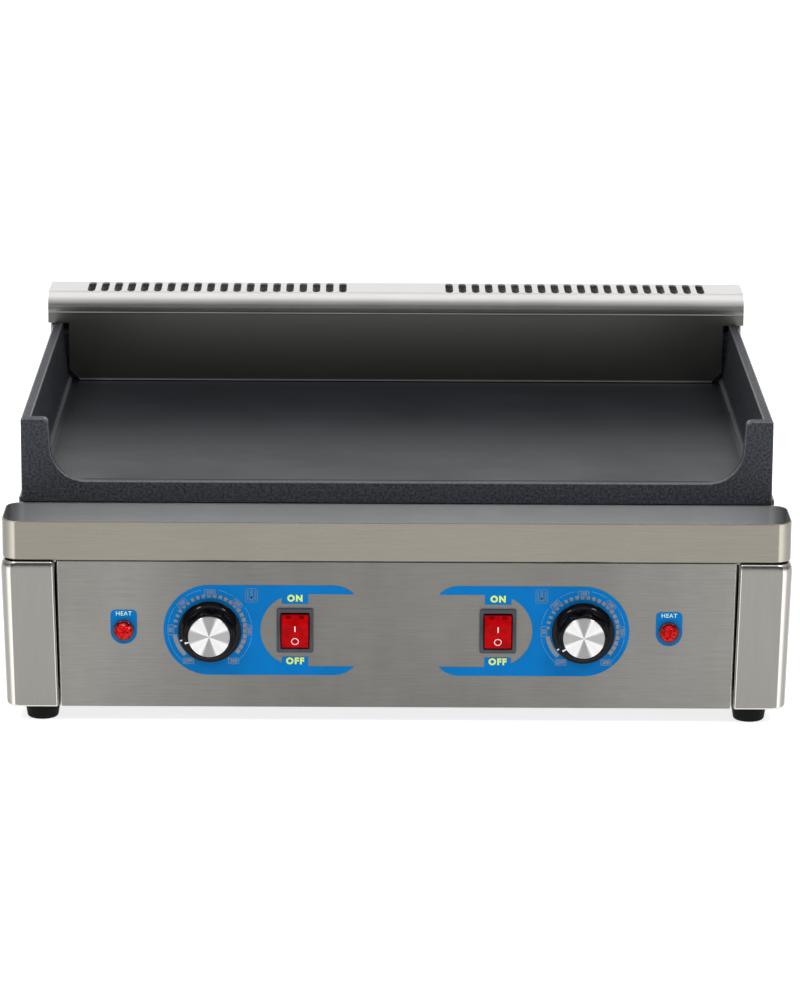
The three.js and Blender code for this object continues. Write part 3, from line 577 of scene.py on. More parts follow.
PANEL_STEEL = brushed_steel(
    "panel_steel", (0.94, 0.935, 0.89), 0.38, "x", grain=0.08, mottle=0.26, depth=0.05,
    bends=FOLD_LIGHT, ends=PANEL_END_LIGHT,
)
SIDE_STEEL = brushed_steel("side_steel", (0.36, 0.355, 0.34), 0.36, "z", grain=0.1)
PAN_STEEL = brushed_steel("pan_steel", (0.10, 0.10, 0.10), 0.45, "x", grain=0.1)
PRINT_STEEL = brushed_steel("print_steel", (0.21, 0.215, 0.22), 0.38, "x", grain=0.05)
TRAY_STEEL = brushed_steel(
    "tray_steel", (0.81, 0.775, 0.685), 0.27, "x", grain=0.04, depth=0.04, bends=TRAY_CORNER_LIGHT, rise=0.0
)
TRAY_INSIDE = brushed_steel(
    "tray_inside_steel", (0.64, 0.66, 0.69), 0.5, "x", grain=0.03, depth=0.03, bends=TRAY_SHADE, rise=0.0
)
HOOD_STEEL = brushed_steel(
    "hood_steel", (0.90, 0.90, 0.91), 0.36, "x", grain=0.03, depth=0.02, bends=HOOD_BEND_LIGHT, rise=1.0
)
HOOD_INSIDE = brushed_steel("hood_inside_steel", (0.80, 0.80, 0.81), 0.6, "x", grain=0.03)
# The splashback's face: the hood's steel made dark, a painted reflection of the plate before it.
SPLASH_PAINTED_REFLECTION = brushed_steel(
    "splash_steel_painted_reflection", (0.150, 0.149, 0.136), 0.30, "x", grain=0.02, mottle=0.02, depth=0.004
)
POST_STEEL = brushed_steel(
    "post_steel", (0.85, 0.835, 0.80), 0.22, "z", grain=0.03, depth=0.03, bends=POST_CORNER_LIGHT, rise=0.9
)
INNER_STEEL = brushed_steel("inner_steel", (0.40, 0.40, 0.40), 0.42, "x", grain=0.05)
PLATED = brushed_steel("plated_steel", (0.62, 0.62, 0.60), 0.25, "y", grain=0.04)
SHEATH = brushed_steel("element_sheath", (0.07, 0.065, 0.06), 0.5, "y", grain=0.2)
COPPER = brushed_steel("drawn_copper", (0.62, 0.30, 0.17), 0.35, "z", grain=0.1)
CAST = cast_iron("cast_outside", (0.025, 0.026, 0.033), 0.45, 560, 1.0, 0.42)
GROUND = cast_iron("cast_ground_floor", (0.0068, 0.0082, 0.0128), 0.33, 950, 0.05, 0.37)
# Lighter, glossier casting on the rounded edges: a painted highlight where they catch the light.
CAST_EDGE_HIGHLIGHT = cast_iron("cast_edge_painted_highlight", (0.085, 0.09, 0.10), 0.3, 620, 0.25, 0.6)
KNOB_BLACK = moulded("knob_black", (0.003, 0.003, 0.004), 0.06, depth=0.01, Specular_IOR_Level=0.14)
SWITCH_GREY = moulded("switch_grey", (0.058, 0.063, 0.077), 0.42, depth=0.05, Specular_IOR_Level=0.15)
NYLON = moulded("black_nylon", (0.018, 0.018, 0.020), 0.45, depth=0.1)
RUBBER = moulded(
    "foot_rubber", (0.005, 0.005, 0.006), 0.62, texture=700, depth=0.3, Specular_IOR_Level=0.12
)
CERAMIC = moulded("ceramic", (0.74, 0.70, 0.62), 0.6, texture=500, depth=0.15)
FIBRE = woven("ceramic_fibre", (0.72, 0.70, 0.64), 0.95, 700, 0.5)
SLEEVE = woven("wire_sleeve", (0.27, 0.035, 0.02), 0.8, 1600, 0.6)
SPUN = spun_aluminium()
BLUE = printed("blue_print", (0.0, 0.152, 0.45))
PALE_BLUE = printed("pale_blue_print", (0.13, 0.36, 0.66))
FADED = printed("faded_print", (0.085, 0.165, 0.255))
YELLOW = printed("yellow_print", (0.60, 0.76, 0.16))
WHITE = printed("white_print", (0.85, 0.85, 0.85))
PALE_GREEN = printed("pale_green_print", (0.58, 0.82, 0.66))
# The key's faint glow is painted; the lens glows as the lamp it is.
RED = glowing_red("rocker_red", (0.37, 0.0005, 0.002), 0.3, 0.05, 0.04)
RED_SHADE = glowing_red("rocker_shade_red", (0.12, 0.0003, 0.001), 0.5, 0.0, 0.02)
LENS_RED = glowing_red("lens_red", (0.40, 0.001, 0.001), 0.16, 0.22, 0.16, cell=480, contrast=0.7)
LENS_DARK = glowing_red("lens_rim_red", (0.075, 0.0005, 0.001), 0.07, 0.02, 0.5)


# ---------- camera, light and floor ----------


def make_camera():
    """The photograph's viewing angle: low, a little above the hood, square to the front."""
    data = bpy.data.cameras.new("camera")
    data.sensor_width = 36
    data.lens = 162.5
    data.clip_start = 0.1
    data.clip_end = 60
    camera = in_scene("camera", data)
    pitch = math.radians(-13.94)
    yaw = math.radians(0.29)
    roll = math.radians(0.329)
    level = math.cos(pitch)
    forward = Vector((math.sin(yaw) * level, math.cos(yaw) * level, math.sin(pitch)))
    turn = forward.to_track_quat("-Z", "Y").to_matrix() @ Matrix.Rotation(roll, 3, "Z")
    camera.matrix_world = Matrix.Translation((-0.0134, -3.2473, 0.9147)) @ turn.to_4x4()
    bpy.context.scene.camera = camera


def soft_light(name, place, target, size, power):
    """A square area light at a place, aimed at a target."""
    data = bpy.data.lights.new(name, "AREA")
    data.shape = "RECTANGLE"
    data.size = size
    data.size_y = size
    data.energy = power
    light = in_scene(name, data)
    light.location = place
    aim = Vector(target) - Vector(place)
    light.rotation_euler = aim.to_track_quat("-Z", "Y").to_euler()
    light.visible_camera = False


def make_studio():
    """A sky that is dark in front and white behind, two soft keys and a wide overhead light."""
    world = bpy.data.worlds.new("studio")
    bpy.context.scene.world = world
    world.use_nodes = True
    tree = world.node_tree
    direction = node(tree, "ShaderNodeTexCoord").outputs["Generated"]
    apart = node(tree, "ShaderNodeSeparateXYZ", {"Vector": direction})
    rearward = between(tree, apart.outputs["Y"], 0, 1, -0.4, 0.8)
    horizon = shades(tree, rearward, [(0.0, (0.12,) * 3), (0.4, (0.42,) * 3), (1.0, (1.0,) * 3)])
    upward = between(tree, apart.outputs["Z"], 0, 1, 0.25, 0.65)
    sky = mixed(tree, upward, horizon, (0.58, 0.58, 0.58, 1))
    wired(tree, tree.nodes["Background"], Color=sky)
    for hand, side in SIDES:
        soft_light(f"key_{hand}", (side * 1.3, -1.9, 1.9), (0, 0, 0.1), 0.45, 17)
    overhead = bpy.data.lights.new("overhead", "SUN")
    overhead.energy = 0.9
    overhead.angle = math.radians(80)
    in_scene("overhead", overhead)
    bpy.context.scene.view_settings.view_transform = "Standard"


def make_floor():
    """A pale floor that glows a little, just under the feet."""
    half, drop = 20, 0.0002
    mesh = bpy.data.meshes.new("floor")
    corners = at_height([(-half, -half), (half, -half), (half, half), (-half, half)], -drop)
    mesh.from_pydata(corners, [], [(0, 1, 2, 3)])
    material, tree, shader = new_material(
        "pale_floor", Roughness=0.85, Emission_Strength=0.80, Emission_Color=(1, 1, 1, 1),
        Specular_IOR_Level=0.1,
    )
    cloud = noise(tree, place_of(tree), 3, 2, 0.5)
    pale = shades(tree, cloud, [(0.3, (0.56, 0.56, 0.56)), (0.7, (0.60, 0.60, 0.60))])
    wired(tree, shader, Base_Color=pale)
    mesh.materials.append(material)
    in_scene("floor", mesh)


# ---------- cabinet ----------


def front_panel():
    """One sheet with its side edges folded back and rounded, and its top folded in."""
    back = panel_high.y
    bend = 2.0
    sheet = 1.2
    edge = 0.25
    flare = 1.8 / PANEL_HALF  # the sheet's top is wider by this share
    lip = tray_low.z - 0.6
    ends = [(PANEL_HALF, FRONT, bend), (PANEL_HALF, back, 0)]
    line = rounded([(-x, y, radius) for x, y, radius in ends[::-1]] + ends, 5, closed=False)
    outline = sheet_outline(line, sheet)
    loops = [
        at_height(outline, panel_low.z),
        [(x * (1 + flare), y, lip - edge) for x, y in outline],
        [(x * (1 + flare * 0.9), y + edge * 0.5, lip) for x, y in outline],
    ]
    made = piece(
        "front_panel_sheet", loft(loops), PANEL_STEEL, replaces=["front_panel"]
    )
    fold = rounded_box(PANEL_HALF - 3, FRONT + 1.3, back, 0.3, 2)
    part = raised(fold, panel_high.z - sheet, panel_high.z - 0.05, 0.2)
    piece("front_panel_top_fold", part, PANEL_STEEL)
    round_hole = circle(5.6, 32)
    switch_hole = rounded_box(11.2, -14.2, 14.2, 1, 3)
    cutters = []
    for _, side in SIDES:
        for x, hole in ((KNOB_X, round_hole), (LAMP_X, round_hole), (SWITCH_X, switch_hole)):
            cutters.append(on_panel(raised(hole, -3, 3), side * x))
    carve(made, cutters)


def post_plan(face_x, face_y, inner_x, side_y, radius, edge):
    """Plan of the front right post, from the rear of its side leg round to its inner edge."""
    cabinet_x = CABINET_HALF + 0.6
    cabinet_y = FRONT - 0.3
    outside = [(cabinet_x, side_y, 0.3), (face_x, side_y, edge), (face_x, face_y, radius)]
    inner_edge = [(inner_x - 0.5, face_y, 1.5), (inner_x - 1.6, cabinet_y, 0.3)]
    return rounded(outside + inner_edge + [(cabinet_x, cabinet_y, 1.2)], 6)


def corner_post(name, side, facing):
    """Pressed post: slimmer at its foot, its bends rounded, its top rolled over."""
    low, high = box_mm("corner_post_front_right")
    foot, top = low.z, high.z
    roll_high, roll_deep = 7.0, 3.2
    levels = []  # each is a height and how far the pressing draws in there
    for cosine, sine in quarter_turn(8):
        levels.append((foot + roll_high * 0.4 * (1 - cosine), roll_deep * 0.8 * (1 - sine)))
    levels += [(foot + (top - foot) * k / 7, 0) for k in range(1, 7)]
    for cosine, sine in quarter_turn(8):
        levels.append((top - roll_high * (1 - sine), roll_deep * (1 - cosine)))
    inner_x = 237.4  # the inner edge at the foot
    hollow = post_plan(high.x - 5.4, low.y + 2.2, inner_x + 2.5, high.y - 3.4, 7.5, 0.5)
    loops = [at_height(hollow, foot + 9), at_height(hollow, foot)]
    for z, inward in levels:
        rise = (z - foot) / (top - foot)
        plan = post_plan(
            high.x + 0.8 - 3.2 * (1 - rise) - inward,
            low.y + 1.0 * (1 - rise) + 0.42 * inward,
            inner_x + 2.2 * rise + 0.2 * inward,
            high.y - 2.0 * (1 - rise) - 0.5 * inward,
            9 + 1.5 * rise - 0.4 * inward,
            1.3 - 0.2 * inward,
        )
        loops.append(at_height(plan, z))
    across = Matrix.Diagonal((side, facing, 1, 1))
    shift = 0 if facing == 1 else box_mm("corner_post_rear_right")[1].y + low.y
    part = moved(loft(loops), Matrix.Translation((0, shift, 0)) @ across)
    piece(f"{name}_pressing", part, POST_STEEL, replaces=[name], sharp=40)


def rubber_foot(name):
    """A round bumper with a soft foot and a recess for its screw."""
    low, high = box_mm(name)
    centre = (low + high) / 2
    radius = high.x - centre.x + 0.7
    height = high.z - low.z
    bore = 2.4
    profile = [
        (bore, 5), (5.2, 5), (5.2, 0.3), (5.5, 0), *arc(radius - 3.2, 2.0, 2.0, -90, -20, 5),
        (radius - 0.5, height * 0.55), *arc(radius - 0.8, height - 0.8, 0.8, 0, 90, 3),
        (bore, height), (bore, 5),
    ]
    part = placed(lathe(profile, 40), centre.x, centre.y, low.z)
    piece(f"{name}_bumper", part, RUBBER, replaces=[name])


# ---------- cooking top ----------


def cooking_plate():
    """The casting: front frame with its round opening, walls and floor in one skin, rear wall."""
    half, top = plate_high.x, plate_high.z
    front, back = plate_low.y, plate_high.y
    bottom = 147.0  # only the studs go lower
    rear_wall, rear_top = 7.3, 200
    # the walls' top inner edge in from the side and its radius, then their foot and its radius
    frame_walls = (19.3, 4.0, 22.1, 25.0)
    side_walls = (7.0, 1.4, 11.4, 6.0)

    def section(inset, opening, rim_in, rim_round, foot_in, foot_round):
        """Closed XZ outline. inset shrinks the outside and opening widens the inside."""
        right = [
            (half - inset, bottom + inset, 1.0),
            (half - inset, top - inset, 1.6),
            (half - rim_in + opening, top - inset, rim_round),
            (half - foot_in + opening, FLOOR_Z - opening, foot_round + opening),
            (100, FLOOR_Z - opening, 0),
        ]
        left = [(-x, z, r) for x, z, r in right[::-1]]
        return rounded(right + left, 14)

    outer, inner = 1.6, 1.2  # the frame's rounded edges
    inner_face = front + 7
    sections = []  # each is a place along Y and the outline there
    for inward, y in arc(outer, front + outer, outer, -90, -180, 4):
        sections.append((y, section(inward, inward * 0.8, *frame_walls)))
    for opening, y in arc(inner, inner_face - inner, inner, 180, 90, 3):
        sections.append((y, section(0, opening, *frame_walls)))
    for y in (inner_face, -80, 0, 80, back - rear_wall):
        sections.append((y, section(0, 0, *side_walls)))
    loops = [[(x, y, z) for x, z in outline] for y, outline in sections]
    made = piece(
        "cast_plate_top", loft(loops), CAST, replaces=["griddle_plate"], sharp=38
    )
    mark_floor(made)
    rear = [raised(rounded_box(half, back - rear_wall, back, 1.2, 3), bottom, rear_top, 0.8)]
    end_half = 3.5
    end_plan = rounded_box(end_half, back - rear_wall - 1, back, 1.2, 3)
    end = raised(end_plan, rear_top - 1, top, 1.2)
    studs = []
    for hand, side in SIDES:
        rear.append(placed(end, side * (half - end_half)))
        nut = middle(f"clamp_nut_{hand}")
        studs.append(placed(raised(circle(4, 24), plate_low.z, bottom + 1), nut.x, nut.y))
    piece("cast_plate_rear_wall", merged(rear), CAST)
    piece("cast_plate_studs", merged(studs), CAST)


def mark_floor(made):
    """Gives the floor its ground finish and the rounded edges a lighter, glossier casting: a painted
    highlight.
    """
    made.data.materials.append(GROUND)
    made.data.materials.append(CAST_EDGE_HIGHLIGHT)
    for face in made.data.polygons:
        x, y, z = face.center / MM
        up = face.normal.z
        across = abs(face.normal.x)
        along = abs(face.normal.y)
        from_side = plate_high.x - abs(x)
        from_front = y - plate_low.y
        above = z - FLOOR_Z
        if -1 < above < 5 and from_side > 12 and up > 0.35:
            face.material_index = 1
        # Rounded edges that take the painted highlight:
        wall_foot = from_front > 7.5 and from_side < 18 and above < 5 and 0.5 < up < 0.85
        wall_top = z > plate_high.z - 3 and 0.25 < up < 0.97 and max(across, along) > 0.2
        front_edge = from_front < 1.5 and from_side > 10 and above > -2 and along < 0.97
        if wall_foot or wall_top or front_edge:
            face.material_index = 2


def slot_cutters(side):
    """Twenty vent slots over half of the hood, with rounded ends."""
    first_x, pitch, slot_y = 41.2, 10.23, 191.2
    half_wide, half_straight, end_deep = 3.0, 12.2, 5.5
    ends = arc(0, 0, 1, 0, 360, 24)[:-1]
    cutters = []
    for i in range(20):
        x = side * (first_x + pitch * i)
        outline = []
        for along_x, along_y in ends:
            straight = half_straight if along_y > 0 else -half_straight
            outline.append((x + half_wide * along_x, slot_y + straight + end_deep * along_y))
        cutters.append(raised(outline, hood_high.z - 4, hood_high.z + 2))
    return cutters


def cut_hood(made, skirt):
    """Cuts the vent slots, the sheet beside the splashback and the splashback's lower corners."""
    foot, face_y = hood_low.z, -hood_low.y
    splash_half, clip = 252.2, 9
    outer = hood_high.x + 5
    beside = [(splash_half, 100), (outer, 100), (outer, skirt), (splash_half, skirt)]
    past = splash_half + 1
    clipped = [(splash_half - clip, foot - 1), (past, foot - 1), (past, foot + clip)]
    cutters = slot_cutters(-1) + slot_cutters(1)
    for _, side in SIDES:
        for shape in (beside, clipped):
            outline = [(side * x, z) for x, z in shape][::side]
            cutters.append(moved(raised(outline, face_y - 4, face_y + 4), TO_FRONT))
    carve(made, cutters, sharp=28)


def rear_hood():
    """Splashback and flue hood folded from one T-shaped sheet, with a fine crease under its bend."""
    half, top = hood_high.x, hood_high.z
    front, back, foot = hood_low.y, hood_high.y, hood_low.z
    skirt = plate_high.z + 0.3
    bend, rear_bend = 11, 3.0
    sheet = 1.2
    crease = 215.4
    step = 0.22  # the sheet stands back by this much below the crease
    line = rounded(
        [(back, skirt, 0), (back, top, rear_bend), (front, top, bend), (front, crease + 2.0, 0)],
        12,
        closed=False,
    )
    line += [(front + 0.25, crease + 0.9), (front, crease + 0.1), (front + step, crease - 0.6)]
    line += [(front + step, foot + 1.6), (front + step - 0.15, foot + 0.9), (front - 0.3, foot)]
    outline = sheet_outline(line, sheet)
    loops = [[(x, y, z) for y, z in outline] for x in (-half, half)]
    made = piece(
        "hood_sheet", loft(loops), HOOD_STEEL, replaces=["rear_hood"], sharp=28
    )
    cut_hood(made, skirt)
    for material in (SPLASH_PAINTED_REFLECTION, HOOD_INSIDE, PAN_STEEL, SIDE_STEEL):
        made.data.materials.append(material)
    for face in made.data.polygons:
        _, y, z = face.center / MM
        inward = face.normal.y * ((front + back) / 2 - y) + face.normal.z * (crease - z)
        # Below the crease: the splashback's darkened steel, a painted reflection.
        if y < front + 0.5 and z < crease + 0.1:
            # Its last 1.2 mm takes the dark pan steel, a painted shade line along the foot.
            face.material_index = 1 if z > foot + 1.2 else 3
        elif inward > 0.5:
            face.material_index = 2
        elif y > back - 0.1:
            face.material_index = 4
    edge = 0.3
    upper = [(back - edge, top - edge, rear_bend), (front + edge, top - edge, bend)]
    profile = rounded([(back - edge, skirt, 0), *upper, (front + edge, skirt, 0)], 12)
    for hand, side in SIDES:
        places = [side * (half - inset) for inset in (sheet, edge, 0.05)]
        loops = [[(x, y, z) for y, z in profile] for x in places]
        piece(f"hood_end_{hand}", loft(loops), SIDE_STEEL)


# ---------- grease tray ----------


def grease_tray():
    """Open trough drawn from one sheet: round corners, a soft foot and a thin rim."""
    low, high = tray_low, tray_high
    wall = 1.2
    rim = wall / 2
    corner = 13
    foot = 1.6
    inner = foot + 0.6
    inside = wall + inner
    levels = [  # each is an inset from the outside and a height
        *arc(foot, low.z + foot, foot, -90, -180, 4),
        (0, high.z - 4),
        *arc(rim, high.z - rim, rim, 180, 0, 6),
        (wall, high.z - 4),
        *arc(inside, low.z + inside, inner, 180, 270, 4),
    ]
    loops = []
    for inset, z in levels:
        radius = max(corner - inset, 1)
        outline = rounded_box(high.x - inset, low.y + inset, high.y - inset, radius, 12)
        loops.append(at_height(outline, z))
    made = piece(
        "tray_trough", loft(loops), TRAY_STEEL, body="tray",
        replaces=["grease_tray"], sharp=50,
    )
    made.data.materials.append(TRAY_INSIDE)
    for face in made.data.polygons:
        x, y, z = face.center / MM
        inward = -face.normal.x * x - face.normal.y * (y - (low.y + high.y) / 2)
        if inward > 3 or (face.normal.z > 0.3 and z < high.z - 5):
            face.material_index = 1


# ---------- controls ----------

# How far the print's back, its blue face and the ink on that face stand off the panel.
PRINT_BACK = 0.03
LABEL_FACE = 0.35
INK_FACE = LABEL_FACE + 0.04


def inked(outline, x=0, y=0):
    """A thin shape printed on top of the blue field, moved by x and y."""
    return placed(raised(outline, LABEL_FACE, INK_FACE), x, y)


def spin(degrees):
    """A turn about +Z, which is a turn in the panel's face once the part stands on it."""
    return Matrix.Rotation(math.radians(degrees), 4, "Z")


def print_piece(name, parts, material, x, z=CONTROL_Z):
    """Printed shapes about a centre on the front panel, as one piece."""
    piece(name, on_panel(merged(parts), x, z), material)


def print_field(name, outline, x, stands_for):
    """A flat blue field under the printed shapes."""
    part = on_panel(raised(outline, PRINT_BACK, LABEL_FACE), x)
    piece(name, part, BLUE, replaces=[stands_for])


def ring_piece(inner, outer, start, end, steps):
    """A printed arc band between two radii."""
    return inked(arc(0, 0, outer, start, end, steps) + arc(0, 0, inner, end, start, steps))


def lettering(name, text, size, x, z, material, forward, bold, spacing=1.0, turn=None):
    """Plain generic lettering as a thin mesh on the panel, turn placing it about (x, z)."""
    data = bpy.data.curves.new(name, "FONT")
    data.body = text
    data.size = size * MM
    data.align_x = "CENTER"
    data.align_y = "CENTER"
    data.extrude = 0.04 * MM
    data.offset = bold * MM
    data.space_character = spacing
    data.resolution_u = 4
    shape = in_scene(name, data)
    depsgraph = bpy.context.evaluated_depsgraph_get()
    mesh = bpy.data.meshes.new_from_object(shape.evaluated_get(depsgraph))
    bpy.data.objects.remove(shape)
    mesh.transform(Matrix.Scale(1 / MM, 4))
    if turn:
        mesh.transform(turn)
    mesh.transform(Matrix.Scale(MM, 4) @ Matrix.Translation((x, FRONT - forward, z)) @ TO_FRONT)
    mesh.materials.clear()
    mesh.materials.append(material)
    made = in_scene(name, mesh)
    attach(made, "cabinet")


def control_label(hand, side):
    """The blue field: a round end about the knob and two bands past the switch."""
    outer, inner = 32.4, 26.1
    bay_x = SWITCH_X - 2.0
    tip = 30
    patch, patch_edge = 9.3, 19.1  # the word patches' half width and their edge by the switch
    upper = [
        (tip + 13, outer), (tip + 9, outer - 0.6), (tip + 5, outer - 2.0), (tip + 2, outer - 3.9),
        (tip, inner + 0.6), (tip, inner), (SWITCH_X - patch, inner),
        (SWITCH_X - patch, patch_edge), (SWITCH_X + patch, patch_edge),
    ]
    reach = math.degrees(math.acos((SWITCH_X + patch - bay_x) / inner))
    outline = arc(KNOB_X, 0, outer, -90, 90, 48) + upper + arc(bay_x, 0, inner, reach, -reach, 40)
    outline += [(x, -z) for x, z in upper[::-1]]
    outline = [(side * x, z) for x, z in outline][::side]
    print_field(f"print_field_{hand}", outline, 0, f"control_label_{hand}")
    dial_marks(hand, side)
    for word, z in (("ON", CONTROL_Z + 23.0), ("OFF", CONTROL_Z - 22.3)):
        lettering(
            f"word_{word.lower()}_{hand}", word, 6.2, side * SWITCH_X, z, YELLOW,
            LABEL_FACE + 0.02, bold=0.34, spacing=1.24,
        )


def dial_marks(hand, side):
    """Ticks that widen clockwise, number boxes, a long bar and a thin outer arc about a knob."""
    x = side * KNOB_X
    numbers = {"50": 180, "100": 135, "150": 90, "200": 45, "250": 0}
    ticks = []
    for k in range(24):
        angle = 174 - 9.2 * k
        by_number = any(abs(angle - at) < 8 for at in numbers.values())
        wide = 0.75 + 0.04 * k
        inner, outer = 23.3, 24.9 if by_number else 26.0
        block = inked([(inner, -wide), (outer, -wide), (outer, wide), (inner, wide)])
        ticks.append(moved(block, spin(angle)))
    ticks.append(ring_piece(23.4, 26.2, 188, 226, 12))
    print_piece(f"dial_ticks_{hand}", ticks, PRINT_STEEL, x)
    spans = ((-58, -10), (10, 34), (56, 78), (102, 124), (146, 170), (190, 238))
    arcs = [ring_piece(29.3, 29.5, start, end, 16) for start, end in spans]
    print_piece(f"dial_arc_{hand}", arcs, PALE_BLUE, x)
    for text, angle in numbers.items():
        outwards = Matrix.Translation((*arc(0, 0, 27.2, angle, angle, 1)[0], 0))
        number_box(hand, text, x, outwards @ spin(angle - 90))
    for text, dx in (("OFF", -15.2), ("300", 16.4)):
        number_box(hand, text, x, Matrix.Translation((dx, -22.3, 0)))
    heat_icon(hand, side)


def number_box(hand, text, x, place):
    """A dial number in a thin frame, set flat on the print by a placing matrix."""
    half_wide, half_high, line = 3.6, 1.95, 0.16
    level = rounded_box(half_wide, -line, line, 0.1, 2)
    upright = rounded_box(line, -half_high, half_high, 0.1, 2)
    bars = [inked(level, 0, dy) for dy in (-half_high, half_high)]
    bars += [inked(upright, dx) for dx in (-half_wide, half_wide)]
    print_piece(f"dial_box_{text.lower()}_{hand}", [moved(merged(bars), place)], PRINT_STEEL, x)
    lettering(
        f"dial_number_{text.lower()}_{hand}", text, 3.3, x, CONTROL_Z, PRINT_STEEL,
        LABEL_FACE + 0.03, bold=0.1, turn=place,
    )


def heat_icon(hand, side):
    """A small framed thermometer beside the dial."""
    parts = [inked(rounded_box(0.3, -5, 5, 0.1, 2), dx) for dx in (-4.1, 4.1)]
    parts += [inked(rounded_box(4.3, -0.25, 0.25, 0.1, 2), 0, dy) for dy in (-4.8, 4.8)]
    parts.append(inked(rounded_box(0.75, -2.2, 4.0, 0.6, 3)))
    parts.append(inked(circle(1.5, 24), 0, -2.4))
    parts += [inked(rounded_box(0.4, -3.6, 3.6, 0.3, 3), dx) for dx in (-2.6, 2.6)]
    print_piece(f"heat_icon_{hand}", parts, FADED, side * (KNOB_X - 29.0), CONTROL_Z + 25.2)


def lamp_label(hand, side):
    """The blue patch about a lamp: round below, with the word HEAT above."""
    half, corner, top = 9.25, 3.5, 14.3
    outline = arc(0, -1.0, half, 180, 360, 32) + [(half, top - corner)]
    outline += arc(half - corner, top - corner, corner, 0, 90, 6)[1:]
    outline += arc(corner - half, top - corner, corner, 90, 180, 6)
    print_field(f"lamp_print_{hand}", outline, side * LAMP_X, f"lamp_label_{hand}")
    lettering(
        f"word_heat_{hand}", "HEAT", 4.2, side * LAMP_X, CONTROL_Z + 11.6, PALE_GREEN,
        LABEL_FACE + 0.02, bold=0.03, spacing=1.12,
    )


def knob(hand, side, pointer):
    """Glossy knob: dished skirt, scalloped grip, white pointer marks and a spun cap."""
    x = side * KNOB_X
    body = f"knob_{hand}_set"
    skirt = [
        (0, 4), (21.2, 4), *arc(21.4, 4.6, 0.6, -90, 0, 3), (22.0, 5.1),
        *arc(21.5, 5.2, 0.5, 0, 100, 4), (20.4, 5.95), (19.2, 6.5), (18.4, 7.3), (17.9, 8.4),
        (17.7, 9.4), (0, 9.4),
    ]
    count, ridges = 128, 8

    def grip_loop(radius, scallop, height):
        loop = []
        for i in range(count):
            angle = 2 * math.pi * i / count
            wave = radius + scallop * math.cos(ridges * angle)
            loop.append((wave * math.cos(angle), wave * math.sin(angle), height))
        return loop

    loops = [grip_loop(16.9, 0.75, 8.8), grip_loop(16.5, 0.8, 11), grip_loop(16.3, 0.8, 15.4)]
    for cosine, sine in quarter_turn(5)[1:]:
        loops.append(grip_loop(15.1 + 1.2 * cosine, 0.8 * cosine, 15.4 + 1.5 * sine))
    loops.append(grip_loop(14.7, 0, 16.9))
    turn = spin(180 + pointer)
    part = moved(merged([lathe(skirt, 96), loft(loops)]), turn)
    piece(
        f"knob_{hand}_moulding", on_panel(part, x), KNOB_BLACK, body=body,
        replaces=[f"knob_{hand}"], sharp=40,
    )
    rim_mark = placed(raised(rounded_box(1.35, -0.42, 0.42, 0.2, 3), 5.5, 6.12), 20.3)
    grip_mark = placed(raised(rounded_box(1.5, -0.45, 0.45, 0.2, 3), 15.5, 17.2), 16.1)
    marks = moved(merged([rim_mark, grip_mark]), turn)
    piece(f"knob_{hand}_pointer", on_panel(marks, x), WHITE, body=body)
    cap = [
        (0, 16.8), (14.2, 16.8), (14.5, 17.3), (14.5, 18.1), *arc(14.0, 18.2, 0.5, 0, 90, 4),
        (0, 18.7),
    ]
    piece(
        f"knob_{hand}_spun_cap", on_panel(lathe(cap, 96), x), SPUN, body=body,
        replaces=[f"knob_cap_{hand}"],
    )


def switch(hand, side):
    """Snap-in switch: a bevelled frame on a box, with a red rocker that tilts in its throat."""
    x = side * SWITCH_X
    behind = FRONT - box_mm(f"switch_housing_{hand}")[1].y
    half_wide, half_high = 12.75, 15.75
    levels = [
        (2.0, behind), (2.0, 0.02), (0.1, 0.02), (0, 0.3), (0, 1.6), (0.15, 2.0), (0.4, 2.2),
        (2.45, 2.2), (2.6, 2.1), (2.7, 1.6), (2.8, -11),
    ]
    loops = []
    for inset, height in levels:
        corner = max(1.5 - inset * 0.3, 0.3)
        outline = rounded_box(half_wide - inset, inset - half_high, half_high - inset, corner, 4)
        loops.append(at_height(outline, height))
    piece(
        f"switch_{hand}_frame", on_panel(loft(loops), x), SWITCH_GREY,
        replaces=[f"switch_housing_{hand}"],
    )
    rocker(hand, x)


